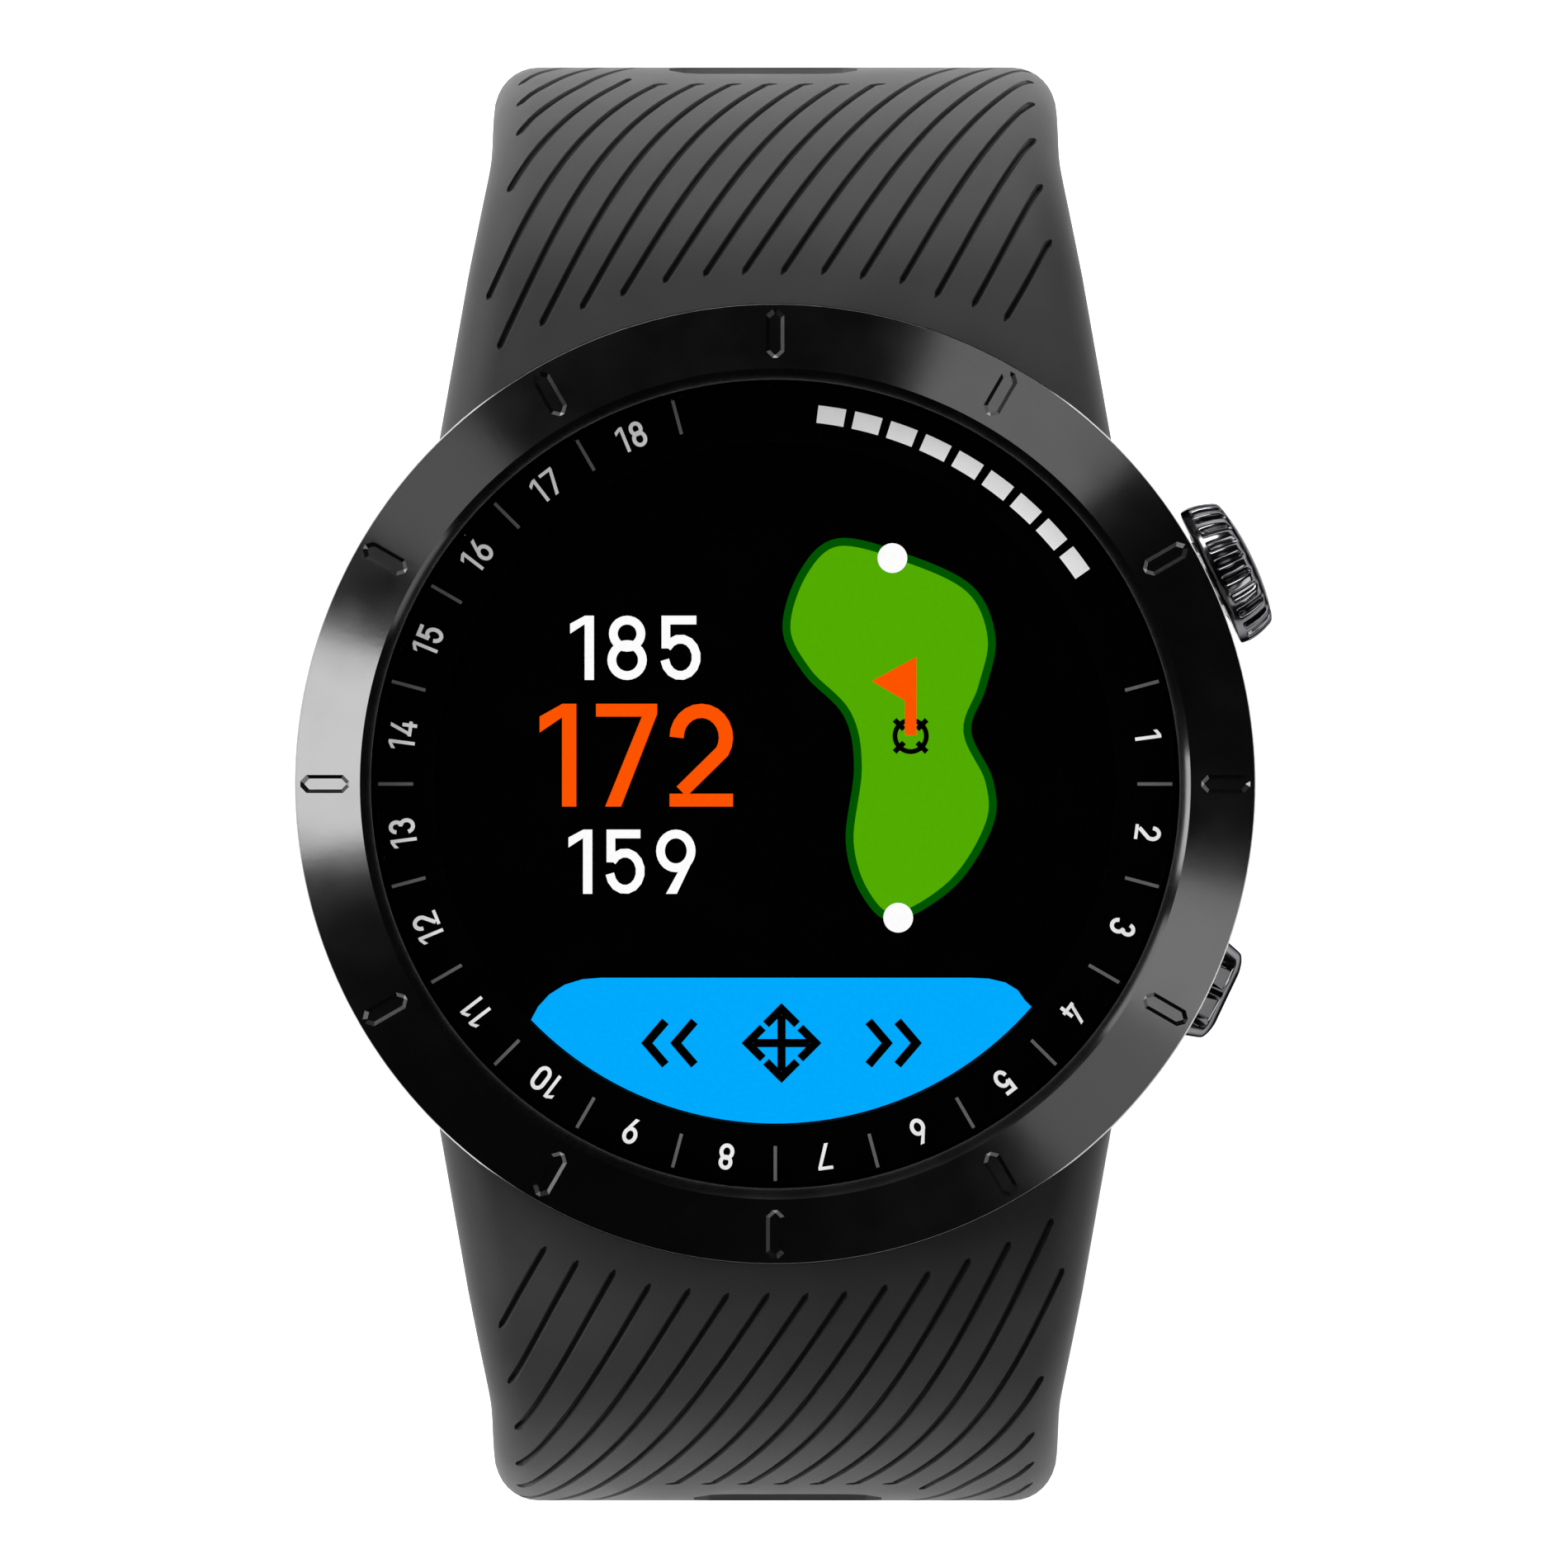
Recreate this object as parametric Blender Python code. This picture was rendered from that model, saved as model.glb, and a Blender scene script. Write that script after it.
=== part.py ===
"""A golf GPS wristwatch with an unbuckled silicone strap in its worn curve.

+Z points out of the dial, +Y towards 12 o'clock and +X towards 3 o'clock. The origin is the
centre of the case back's flat face. Sizes are in millimetres and become metres in new_solid.
"""
import math

import bmesh
import bpy
from mathutils import Matrix, Vector

MM = 0.001

# Head, measured from the case back's flat face.
BEZEL_RADIUS = 23.0
BEZEL_BOTTOM = 9.35
BEZEL_RIM = 12.25
BEZEL_TOP = 12.95
CRYSTAL_RADIUS = 19.4
CRYSTAL_BOTTOM = 10.4
CRYSTAL_TOP = 12.55
DISPLAY_RADIUS = 16.9
DISPLAY_BOTTOM = 8.9
DISPLAY_TOP = 9.6
ACTIVE_RADIUS = 16.45
CAVITY_RADIUS = 17.2
CASE_RADIUS = 22.3
CASE_STRAP_RADIUS = 21.3
CASE_BOTTOM = 2.0
CASE_SHELF = 8.3
CASE_TOP = 9.2
CASE_BACK_RADIUS = 20.4
CASE_BACK_FLAT = 15.2
CASE_BACK_FLANGE = 0.8
SCREW_CIRCLE = 18.6
SCREW_ANGLES = (45.0, 135.0, 225.0, 315.0)
CONTACT_ROW_Y = -7.0
CONTACT_PITCH = 2.6
CONTACT_RADIUS = 0.8

# Controls on the right-hand side. Distances along a control's axis start at the watch's centre.
CONTROL_HEIGHT = 5.2
CROWN_ANGLE = 25.3
CROWN_RADIUS = 3.4
CROWN_FLUTES = 20
CROWN_FLUTE_DEPTH = 0.22
CROWN_BORE_RADIUS = 2.1
STEM_RADIUS = 0.85
BUTTON_ANGLE = -25.4
KEY_HALF_LENGTH = 2.6
KEY_HALF_HEIGHT = 1.35
BUTTON_BORE_RADIUS = 1.0
BUTTON_STEM_RADIUS = 0.75
SWITCH_FACE = 14.6

# Strap. The upper half is at +Y, the lower half at -Y.
BAR_Y = 24.5
BAR_Z = 4.1
LUG_INNER = 11.0
LUG_OUTER = 13.5
LUG_CLEARANCE = 0.35
LUG_RADIUS = 2.0
BAR_HALF = 10.4
PIN_RADIUS = 0.45
PIN_END = 12.4
STRAP_END_RADIUS = 22.6
STRAP_TOP = 8.3
STRAP_UNDERSIDE = 1.6
HORIZON_Y = 35.2
HORIZON_Z = -9.0
THICK_HORIZON = 3.4
THICK_FREE = 2.9
THICK_BUCKLE = 3.3
HALF_WIDTH_HORIZON = 13.75
FLARE_START_Y = 30.9
FLARE_SLOPE = 0.177
SHOULDER_RADIUS = 2.2
HALF_WIDTH_FREE = 11.0
HALF_WIDTH_BUCKLE = 10.0
TAPER_LENGTH = 17.0
UPPER_ARC_RADIUS = 36.0
UPPER_ARC_ANGLE = 80.0
LOWER_ARC_RADIUS = 60.0
LOWER_ARC_ANGLE = 85.0
TAIL_ROUND_LENGTH = 8.0
HOLE_COUNT = 9
HOLE_PITCH = 6.5
HOLE_FROM_TIP = 15.0
HOLE_HALF_WIDTH = 1.7
HOLE_HALF_LENGTH = 1.15
BAR_FROM_END = 2.0
FIXED_KEEPER_ANGLE = -63.0
FREE_KEEPER_ANGLE = -44.0
KEEPER_WALL = 1.3
KEEPER_ROOM = 6.2
KEEPER_PLAY = 0.35

# Buckle, measured from its bar: along the strap (d), out of the strap (n).
BUCKLE_INNER = 11.3
BUCKLE_OUTER = 13.2
BUCKLE_FRONT_NEAR = 8.4
BUCKLE_FRONT_FAR = 10.6
BUCKLE_REAR = -2.1
BUCKLE_HALF_THICK = 1.2
BUCKLE_BAR_RADIUS = 0.8
TONGUE_HALF_WIDTH = 1.0
TONGUE_LENGTH = 11.2

FINE = 60
MEDIUM = 40
COARSE = 24
SMALL = 16


def material(name, color, roughness, metallic=0.0):
    """One Principled material per look, made once."""
    found = bpy.data.materials.get(name)
    if found:
        return found
    made = bpy.data.materials.new(name)
    made.use_nodes = True
    shader = made.node_tree.nodes["Principled BSDF"]
    shader.inputs["Base Color"].default_value = (*color, 1.0)
    shader.inputs["Roughness"].default_value = roughness
    shader.inputs["Metallic"].default_value = metallic
    return made


CERAMIC = material("black_ceramic", (0.006, 0.006, 0.007), 0.12)
STEEL_DARK = material("dark_steel", (0.05, 0.05, 0.055), 0.3, 1.0)
STEEL = material("steel", (0.55, 0.55, 0.56), 0.3, 1.0)
GOLD = material("gold_contact", (0.9, 0.66, 0.3), 0.25, 1.0)
SILICONE = material("grey_silicone", (0.075, 0.075, 0.078), 0.6)
RUBBER = material("black_rubber", (0.01, 0.01, 0.01), 0.7)
PLASTIC = material("black_plastic", (0.012, 0.012, 0.013), 0.45)
GLASS = material("crystal_glass", (0.9, 0.92, 0.93), 0.02)
SCREEN = material("display_glass", (0.004, 0.004, 0.005), 0.15)
BOARD = material("circuit_board", (0.02, 0.12, 0.05), 0.5)
FOIL = material("battery_foil", (0.6, 0.61, 0.63), 0.35, 1.0)
COPPER = material("antenna_copper", (0.75, 0.4, 0.22), 0.35, 1.0)


def new_solid(name, rings, look, closed=False, parent=None):
    """A closed solid through rings of points. A ring is a list of points, or one point."""
    mesh = bpy.data.meshes.new(name)
    bm = bmesh.new()
    made = [[bm.verts.new(Vector(p) * MM) for p in ring] for ring in rings]
    pairs = list(zip(made, made[1:]))
    if closed:
        pairs.append((made[-1], made[0]))
    for low, high in pairs:
        count = max(len(low), len(high))
        for i in range(count):
            j = (i + 1) % count
            corners = [low[i % len(low)], low[j % len(low)], high[j % len(high)], high[i % len(high)]]
            bm.faces.new(list(dict.fromkeys(corners)))
    if not closed:
        for ring in (made[0], made[-1]):
            if len(ring) > 2:
                bm.faces.new(ring)
    bmesh.ops.recalc_face_normals(bm, faces=bm.faces)
    bm.to_mesh(mesh)
    bm.free()
    mesh.materials.append(look)
    mesh.shade_smooth()
    mesh.set_sharp_from_angle(angle=math.radians(35.0))
    solid = bpy.data.objects.new(name, mesh)
    bpy.context.collection.objects.link(solid)
    solid.parent = parent
    return solid


def circle(radius, height, count):
    """Points on a circle at a height. radius may be a function of the angle."""
    points = []
    for i in range(count):
        angle = 2.0 * math.pi * i / count
        r = radius(angle) if callable(radius) else radius
        points.append((r * math.cos(angle), r * math.sin(angle), height))
    return points


def turned(name, profile, look, count, closed=False, parent=None):
    """A solid turned about Z from (radius, height) points. Radius 0 gives a pole."""
    rings = []
    for radius, height in profile:
        pole = not callable(radius) and radius == 0.0
        rings.append([(0.0, 0.0, height)] if pole else circle(radius, height, count))
    return new_solid(name, rings, look, closed, parent)


def disc(name, radius, low, high, look, count, centre=(0.0, 0.0), parent=None):
    """A round plate or pin along Z."""
    rings = []
    for height in (low, high):
        rings.append([(centre[0] + x, centre[1] + y, height) for x, y, _ in circle(radius, 0.0, count)])
    return new_solid(name, rings, look, parent=parent)


def prism(name, outline, low, high, look, parent=None):
    """An outline in X and Y, extruded from low to high along Z."""
    rings = [[(x, y, low) for x, y in outline], [(x, y, high) for x, y in outline]]
    return new_solid(name, rings, look, parent=parent)


def bevelled(solid, width, segments=2):
    edge = solid.modifiers.new("edges", "BEVEL")
    edge.width = width * MM
    edge.segments = segments
    edge.limit_method = "ANGLE"
    edge.angle_limit = math.radians(40.0)
    return solid


def combine(solid, other, operation):
    """Cut another solid away from this one, or join it on, and hide the other."""
    step = solid.modifiers.new(other.name, "BOOLEAN")
    step.operation = operation
    step.solver = "EXACT"
    step.object = other
    other.hide_render = True
    other.display_type = "WIRE"
    return solid


def cut(solid, *cutters):
    for cutter in cutters:
        combine(solid, cutter, "DIFFERENCE")
    return solid


def empty(name, origin, rotation=None):
    """A joint's frame: its origin in millimetres and its rotation as a matrix."""
    frame = bpy.data.objects.new(name, None)
    frame.empty_display_size = 0.004
    turn = (rotation or Matrix.Identity(3)).to_4x4()
    frame.matrix_world = Matrix.Translation(Vector(origin) * MM) @ turn
    bpy.context.collection.objects.link(frame)
    return frame


def rounded_box_outline(half_x, half_y, radius, centre=(0.0, 0.0), steps=3):
    points = []
    for quarter, (sx, sy) in enumerate(((1, 1), (-1, 1), (-1, -1), (1, -1))):
        for i in range(steps + 1):
            angle = math.radians(90.0 * (quarter + i / steps))
            x = centre[0] + sx * (half_x - radius) + radius * math.cos(angle)
            y = centre[1] + sy * (half_y - radius) + radius * math.sin(angle)
            points.append((x, y))
    return points


def x_cylinder(name, radius, x_range, centre, look, parent=None):
    """A round bar along X, about a centre in Y and Z."""
    y, z = centre
    section = circle(radius, 0.0, SMALL)
    rings = [[(x, y + across, z + up) for across, up, _ in section] for x in x_range]
    return new_solid(name, rings, look, parent=parent)


def control_axis(angle):
    """Rotation whose Z runs out along a control's axis and whose Y is the watch's up."""
    out = Vector((math.cos(math.radians(angle)), math.sin(math.radians(angle)), 0.0))
    up = Vector((0.0, 0.0, 1.0))
    side = up.cross(out)
    return Matrix((side, up, out)).transposed()


# ---------------------------------------------------------------- head


def build_case():
    profile = [
        (CAVITY_RADIUS, CASE_BOTTOM), (20.7, CASE_BOTTOM), (21.7, 3.0), (CASE_RADIUS, 4.6),
        (CASE_RADIUS, CASE_TOP), (19.5, CASE_TOP), (19.5, CASE_SHELF), (CAVITY_RADIUS, CASE_SHELF),
    ]
    case = turned("case_middle", profile, STEEL_DARK, FINE, closed=True)
    for side in (1, -1):
        cut(case, strap_bay(side))
    for side in (1, -1):
        for hand in (1, -1):
            combine(case, lug(side, hand), "UNION")
        pin_holes = x_cylinder(f"pin_holes_{side}", 0.6, (-12.7, 12.7), (side * BAR_Y, BAR_Z), STEEL_DARK)
        cut(case, pin_holes)
    for index, place in enumerate(screw_places()):
        cut(case, disc(f"screw_thread_{index}", 0.7, 0.0, 5.2, STEEL_DARK, SMALL, place))
    cut(case, control_bore("crown_bore", CROWN_ANGLE, CROWN_BORE_RADIUS, 26.0, COARSE))
    cut(case, control_bore("button_bore", BUTTON_ANGLE, BUTTON_BORE_RADIUS, 22.0, SMALL))
    cut(case, button_pocket())
    return case


def screw_places():
    places = []
    for angle in SCREW_ANGLES:
        turn = math.radians(angle)
        places.append((SCREW_CIRCLE * math.cos(turn), SCREW_CIRCLE * math.sin(turn)))
    return places


def strap_bay(side):
    """The space beside the case wall that the end of a strap half swings in."""
    half = 17.0
    reach = math.asin(half / CASE_STRAP_RADIUS)
    steps = 24
    arc = []
    for i in range(steps + 1):
        angle = reach * (1.0 - 2.0 * i / steps)
        arc.append((CASE_STRAP_RADIUS * math.sin(angle), side * CASE_STRAP_RADIUS * math.cos(angle)))
    outline = arc + [(-half, side * 30.0), (half, side * 30.0)]
    return prism(f"strap_bay_{side}", outline, -1.0, CASE_TOP + 0.5, STEEL_DARK)


def lug(side, hand):
    """A lug from inside the case wall out to a round end about the spring bar."""
    profile = [(15.0, BAR_Z + LUG_RADIUS), (15.0, BAR_Z - LUG_RADIUS)]
    for i in range(9):
        angle = math.radians(-90.0 + 180.0 * i / 8)
        profile.append((BAR_Y + LUG_RADIUS * math.cos(angle), BAR_Z + LUG_RADIUS * math.sin(angle)))
    rings = [[(hand * x, side * y, z) for y, z in profile] for x in (LUG_INNER, LUG_OUTER)]
    return new_solid(f"lug_{side}_{hand}", rings, STEEL_DARK)


def control_bore(name, angle, radius, far, count):
    """A cutter for a control's bore through the case wall."""
    frame = empty(f"{name}_frame", (0.0, 0.0, CONTROL_HEIGHT), control_axis(angle))
    profile = [(0.0, 15.0), (radius, 15.0), (radius, far), (0.0, far)]
    return turned(name, profile, STEEL_DARK, count, parent=frame)


def pill(half_length, half_height, height, steps=6):
    """A pill outline, long in X, at a height along Z."""
    points = []
    for end in (1, -1):
        for i in range(steps + 1):
            angle = math.radians(-90.0 + 180.0 * i / steps)
            x = end * (half_length - half_height + half_height * math.cos(angle))
            y = end * half_height * math.sin(angle)
            points.append((x, y, height))
    return points


def button_pocket():
    frame = empty("button_pocket_frame", (0.0, 0.0, CONTROL_HEIGHT), control_axis(BUTTON_ANGLE))
    rings = [pill(KEY_HALF_LENGTH + 0.2, KEY_HALF_HEIGHT + 0.2, height) for height in (21.0, 25.0)]
    return new_solid("button_pocket", rings, STEEL_DARK, parent=frame)


def build_bezel():
    profile = [
        (19.9, BEZEL_BOTTOM), (22.6, BEZEL_BOTTOM), (BEZEL_RADIUS, 9.8), (BEZEL_RADIUS, 11.9),
        (22.7, BEZEL_RIM), (20.3, BEZEL_TOP), (19.9, 12.6),
    ]
    turned("bezel", profile, CERAMIC, FINE, closed=True)


def build_crystal():
    profile = [
        (0.0, CRYSTAL_BOTTOM), (CRYSTAL_RADIUS, CRYSTAL_BOTTOM), (CRYSTAL_RADIUS, 12.3),
        (19.15, CRYSTAL_TOP), (0.0, CRYSTAL_TOP),
    ]
    turned("crystal", profile, GLASS, FINE)
    ring = [(19.5, 10.35), (19.82, 10.35), (19.82, 12.2), (19.5, 12.2)]
    turned("crystal_gasket", ring, RUBBER, FINE, closed=True)


def build_dial_ring():
    profile = [
        (ACTIVE_RADIUS, 9.7), (17.1, 9.7), (17.1, 9.2), (19.3, 9.2), (19.3, 10.25), (ACTIVE_RADIUS, 10.25),
    ]
    lifted = [(radius, height + 0.05) for radius, height in profile]
    turned("dial_ring", lifted, PLASTIC, FINE, closed=True)


def build_inside():
    disc("display_panel", DISPLAY_RADIUS, DISPLAY_BOTTOM, DISPLAY_TOP, SCREEN, MEDIUM)
    holder = [(15.4, 7.25), (17.0, 7.25), (17.0, 8.8), (15.4, 8.8)]
    turned("inner_frame", holder, PLASTIC, MEDIUM, closed=True)
    board = disc("main_board", 16.7, 6.5, 7.1, BOARD, MEDIUM)
    for angle in (CROWN_ANGLE, BUTTON_ANGLE):
        frame = empty(f"board_notch_axis_{angle}", (0.0, 0.0, CONTROL_HEIGHT), control_axis(angle))
        outline = [(-2.2, 0.5), (2.2, 0.5), (2.2, 3.0), (-2.2, 3.0)]
        cut(board, prism(f"board_notch_{angle}", outline, 15.6, 18.0, BOARD, frame))
    prism("receiver_shield", rounded_box_outline(4.5, 4.0, 0.8, (-5.0, 3.0)), 7.15, 8.1, STEEL)
    build_antenna()
    battery = prism("battery", rounded_box_outline(10.0, 8.2, 1.5, (-2.0, 1.0)), 1.9, 5.9, FOIL)
    bevelled(battery, 0.4, 1)
    disc("vibration_motor", 4.0, 2.9, 5.6, STEEL, COARSE, centre=(1.0, -12.4))


def build_antenna():
    """An open ring on the case's shelf, with a feed gap at 6 o'clock."""
    steps = 36
    outline = []
    for radius, order in ((19.15, range(steps + 1)), (17.5, reversed(range(steps + 1)))):
        for i in order:
            angle = math.radians(-75.0 + 330.0 * i / steps)
            outline.append((radius * math.cos(angle), radius * math.sin(angle)))
    prism("gps_antenna", outline, 8.4, 9.1, COPPER)


def build_case_back():
    profile = [
        (0.0, 0.0), (CASE_BACK_FLAT, 0.0), (16.6, CASE_BACK_FLANGE), (20.0, CASE_BACK_FLANGE),
        (CASE_BACK_RADIUS, 1.2), (CASE_BACK_RADIUS, 1.9), (16.55, 1.9), (16.55, 2.7), (15.5, 2.7),
        (15.5, 1.6), (0.0, 1.6),
    ]
    back = turned("case_back", profile, STEEL, FINE)
    counterbore = [(0.0, 0.0), (1.2, 0.0), (1.2, 1.35), (0.75, 1.35), (0.75, 3.0), (0.0, 3.0)]
    for index, (x, y) in enumerate(screw_places()):
        build_case_back_screw(f"case_back_screw_{index + 1}", x, y)
        hole = turned(f"screw_hole_{index}", counterbore, STEEL, SMALL)
        hole.location = (x * MM, y * MM, 0.0)
        cut(back, hole)
    for index in range(4):
        place = (CONTACT_PITCH * (index - 1.5), CONTACT_ROW_Y)
        disc(f"charge_contact_{index + 1}", CONTACT_RADIUS, 0.05, 1.75, GOLD, SMALL, place)
        cut(back, disc(f"contact_hole_{index}", CONTACT_RADIUS + 0.1, -1.0, 2.5, STEEL, SMALL, place))
    seal = [(16.62, 2.0), (17.1, 2.0), (17.1, 2.55), (16.62, 2.55)]
    turned("case_back_gasket", seal, RUBBER, FINE, closed=True)


def hexagon(apothem):
    """Radius of a hexagon, as a function of the angle, for a driver socket."""
    def radius(angle):
        turn = angle % math.radians(60.0) - math.radians(30.0)
        return apothem / math.cos(turn)
    return radius


def build_case_back_screw(name, x, y):
    socket = hexagon(0.5)
    profile = [
        (0.0, 1.15), (socket, 1.15), (socket, 0.86), (1.0, 0.86), (1.08, 0.94), (1.08, 1.3),
        (0.62, 1.3), (0.62, 4.7), (0.4, 4.95), (0.0, 4.95),
    ]
    screw = turned(name, profile, STEEL, 18)
    screw.location = (x * MM, y * MM, 0.0)


# ---------------------------------------------------------------- crown and button


def build_crown():
    axis = control_axis(CROWN_ANGLE)
    frame = empty("crown_axis", (0.0, 0.0, CONTROL_HEIGHT), axis)

    def fluted(radius):
        def at(angle):
            groove = 0.5 - 0.5 * math.cos(CROWN_FLUTES * angle)
            return radius - CROWN_FLUTE_DEPTH * groove
        return at

    cap = [
        (0.0, 25.2), (0.95, 25.2), (0.95, 24.3), (2.3, 24.3), (2.3, 23.3), (3.0, 23.3),
        (fluted(CROWN_RADIUS), 23.6), (fluted(CROWN_RADIUS), 25.2), (fluted(3.1), 25.8),
        (2.3, 26.1), (0.0, 26.2),
    ]
    turned("crown", cap, STEEL_DARK, CROWN_FLUTES * 4, parent=frame)
    stem = [
        (0.0, 16.4), (STEM_RADIUS, 16.4), (STEM_RADIUS, 17.0), (0.5, 17.0), (0.5, 17.45),
        (STEM_RADIUS, 17.45), (STEM_RADIUS, 20.1), (0.7, 20.1), (0.7, 20.8), (STEM_RADIUS, 20.8),
        (STEM_RADIUS, 25.1), (0.0, 25.1),
    ]
    turned("crown_stem", stem, STEEL, SMALL, parent=frame)
    o_ring("crown_o_ring", 1.0, 0.22, 20.45, frame)
    clip("crown_clip", 0.58, 1.8, 17.08, 17.38, frame)
    tube = [
        (1.3, 17.5), (2.0, 17.5), (2.0, 22.45), (2.5, 22.45), (2.5, 22.65), (2.0, 22.65),
        (2.0, 23.5), (1.3, 23.5),
    ]
    turned("crown_tube", tube, STEEL, COARSE, closed=True, parent=frame)
    disc("crown_plunger", 1.0, 15.3, 16.3, PLASTIC, SMALL, parent=frame)
    build_switch("crown_switch", frame)


def o_ring(name, radius, thickness, height, parent):
    section = []
    for i in range(8):
        angle = 2.0 * math.pi * i / 8
        section.append((radius + thickness * math.cos(angle), height + thickness * math.sin(angle)))
    turned(name, section, RUBBER, SMALL, closed=True, parent=parent)


def clip(name, inner, outer, low, high, parent):
    """An open retaining ring."""
    steps = 16
    outline = []
    for radius, order in ((outer, range(steps + 1)), (inner, reversed(range(steps + 1)))):
        for i in order:
            angle = math.radians(25.0 + 310.0 * i / steps)
            outline.append((radius * math.cos(angle), radius * math.sin(angle)))
    prism(name, outline, low, high, STEEL, parent)


def build_switch(name, frame):
    """A side-acting dome switch under the board, with its face towards the plunger."""
    rings = [
        [(x, y, 13.0) for x, y in rounded_box_outline(1.6, 1.0, 0.2, steps=1)],
        [(x, y, 14.3) for x, y in rounded_box_outline(1.6, 1.0, 0.2, steps=1)],
        [(x, y, 14.3) for x, y in rounded_box_outline(0.8, 0.6, 0.3, steps=1)],
        [(x, y, SWITCH_FACE) for x, y in rounded_box_outline(0.6, 0.4, 0.2, steps=1)],
    ]
    new_solid(name, rings, PLASTIC, parent=frame)


def build_button():
    frame = empty("button_axis", (0.0, 0.0, CONTROL_HEIGHT), control_axis(BUTTON_ANGLE))
    thick = BUTTON_STEM_RADIUS
    stem = [
        (thick, 15.2), (thick, 16.7), (0.42, 16.7), (0.42, 17.1), (thick, 17.1), (thick, 18.9),
        (0.5, 18.9), (0.5, 19.5), (thick, 19.5), (thick, 21.6),
    ]
    rings = [[stem_point(point, radius) for point in pill(1.0, 0.5, height)] for radius, height in stem]
    for inset, height in ((0.25, 21.6), (0.0, 21.8), (0.0, 23.55), (0.15, 23.9), (0.5, 24.1)):
        rings.append(pill(KEY_HALF_LENGTH - inset, KEY_HALF_HEIGHT - inset, height))
    new_solid("button_key", rings, CERAMIC, parent=frame)
    o_ring("button_o_ring", 0.75, 0.2, 19.2, frame)
    clip("button_clip", 0.5, 1.4, 16.76, 17.04, frame)
    build_switch("button_switch", frame)


def stem_point(point, radius):
    """Move a pill point onto a circle of the given radius, in the same direction."""
    x, y, height = point
    length = math.hypot(x, y)
    return (x / length * radius, y / length * radius, height)


# ---------------------------------------------------------------- strap


def bezier(points, t):
    a, b, c, d = (Vector(p) for p in points)
    u = 1.0 - t
    return a * u ** 3 + b * 3.0 * u * u * t + c * 3.0 * u * t * t + d * t ** 3


def ease(value):
    value = min(max(value, 0.0), 1.0)
    return value * value * (3.0 - 2.0 * value)


def strap_stations(arc_radius, arc_angle, arc_steps, end_half_width, end_thickness):
    """Sections along the +Y strap half: outer point, inner point (Y, Z) and half width."""
    stations = []
    for y in (15.0, 19.0, 22.0, BAR_Y):
        stations.append((Vector((y, STRAP_TOP)), Vector((y, STRAP_UNDERSIDE)), flared_half_width(y)))
    outer = [(BAR_Y, STRAP_TOP), (30.3, STRAP_TOP), (HORIZON_Y, 1.0), (HORIZON_Y, HORIZON_Z)]
    inner_y = HORIZON_Y - THICK_HORIZON
    inner = [(BAR_Y, STRAP_UNDERSIDE), (28.5, STRAP_UNDERSIDE), (inner_y, -3.5), (inner_y, HORIZON_Z)]
    steps = 9
    for i in range(1, steps + 1):
        high = bezier(outer, i / steps)
        stations.append((high, bezier(inner, i / steps), flared_half_width(high.x)))
    centre = arc_centre(arc_radius)
    length = math.radians(arc_angle) * arc_radius
    for i in range(1, arc_steps + 1):
        along = length * i / arc_steps
        angle = -along / arc_radius
        taper = ease(along / TAPER_LENGTH)
        near_end = ease((along - (length - 6.0)) / 4.0)
        thick = THICK_HORIZON + (THICK_FREE - THICK_HORIZON) * taper
        thick += (end_thickness - THICK_FREE) * near_end
        half = HALF_WIDTH_HORIZON + (HALF_WIDTH_FREE - HALF_WIDTH_HORIZON) * taper
        half += (end_half_width - HALF_WIDTH_FREE) * near_end
        out = Vector((math.cos(angle), math.sin(angle)))
        swell = 0.5 * (end_thickness - THICK_FREE) * near_end
        high = arc_radius + swell
        stations.append((centre + out * high, centre + out * (high - thick), half))
    return stations


def flared_half_width(y):
    """The strap widens in a straight flare from the horizon towards the bezel."""
    rise = FLARE_START_Y - y
    return HALF_WIDTH_HORIZON + FLARE_SLOPE * 0.5 * (rise + math.hypot(rise, 0.8))


def arc_centre(arc_radius):
    return Vector((HORIZON_Y - arc_radius, HORIZON_Z))


def strap_section(outer, inner, half, side):
    """A flat section with round shoulders on the outside and small rounds on the inside."""
    thick = (outer - inner).length
    shoulder = min(SHOULDER_RADIUS, 0.62 * thick)
    heel = min(0.8, 0.25 * thick)
    right = [
        (half - heel, 0.0), (half, heel), (half, thick - shoulder),
        (half - 0.29 * shoulder, thick - 0.29 * shoulder), (half - shoulder, thick),
    ]
    profile = right + [(-across, up) for across, up in reversed(right)]
    way = (outer - inner).normalized()
    points = []
    for across, up in profile:
        spot = inner + way * up
        points.append((side * across, side * spot.x, spot.y))
    return points


def strap_half(name, stations, side):
    """side is 1 for the upper half, and -1 for the lower one, which is turned about Z."""
    rings = [strap_section(outer, inner, half, side) for outer, inner, half in stations]
    strap = new_solid(name, rings, SILICONE)
    end = turned(f"{name}_bezel_clearance", [(0.0, -8.0), (STRAP_END_RADIUS, -8.0),
                                             (STRAP_END_RADIUS, 10.0), (0.0, 10.0)], SILICONE, 90)
    cut(strap, end, lug_pocket(name, side, 1), lug_pocket(name, side, -1))
    channel = x_cylinder(f"{name}_bar_channel", 1.05, (-12.0, 12.0), (side * BAR_Y, BAR_Z), SILICONE)
    low, high = sorted((side * -9.7, side * -5.2))
    outline = [(low, side * BAR_Y - 0.75), (high, side * BAR_Y - 0.75),
               (high, side * BAR_Y + 0.75), (low, side * BAR_Y + 0.75)]
    lever_slot = prism(f"{name}_lever_slot", outline, -2.0, BAR_Z, SILICONE)
    cut(strap, channel, lever_slot)
    return strap


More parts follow.
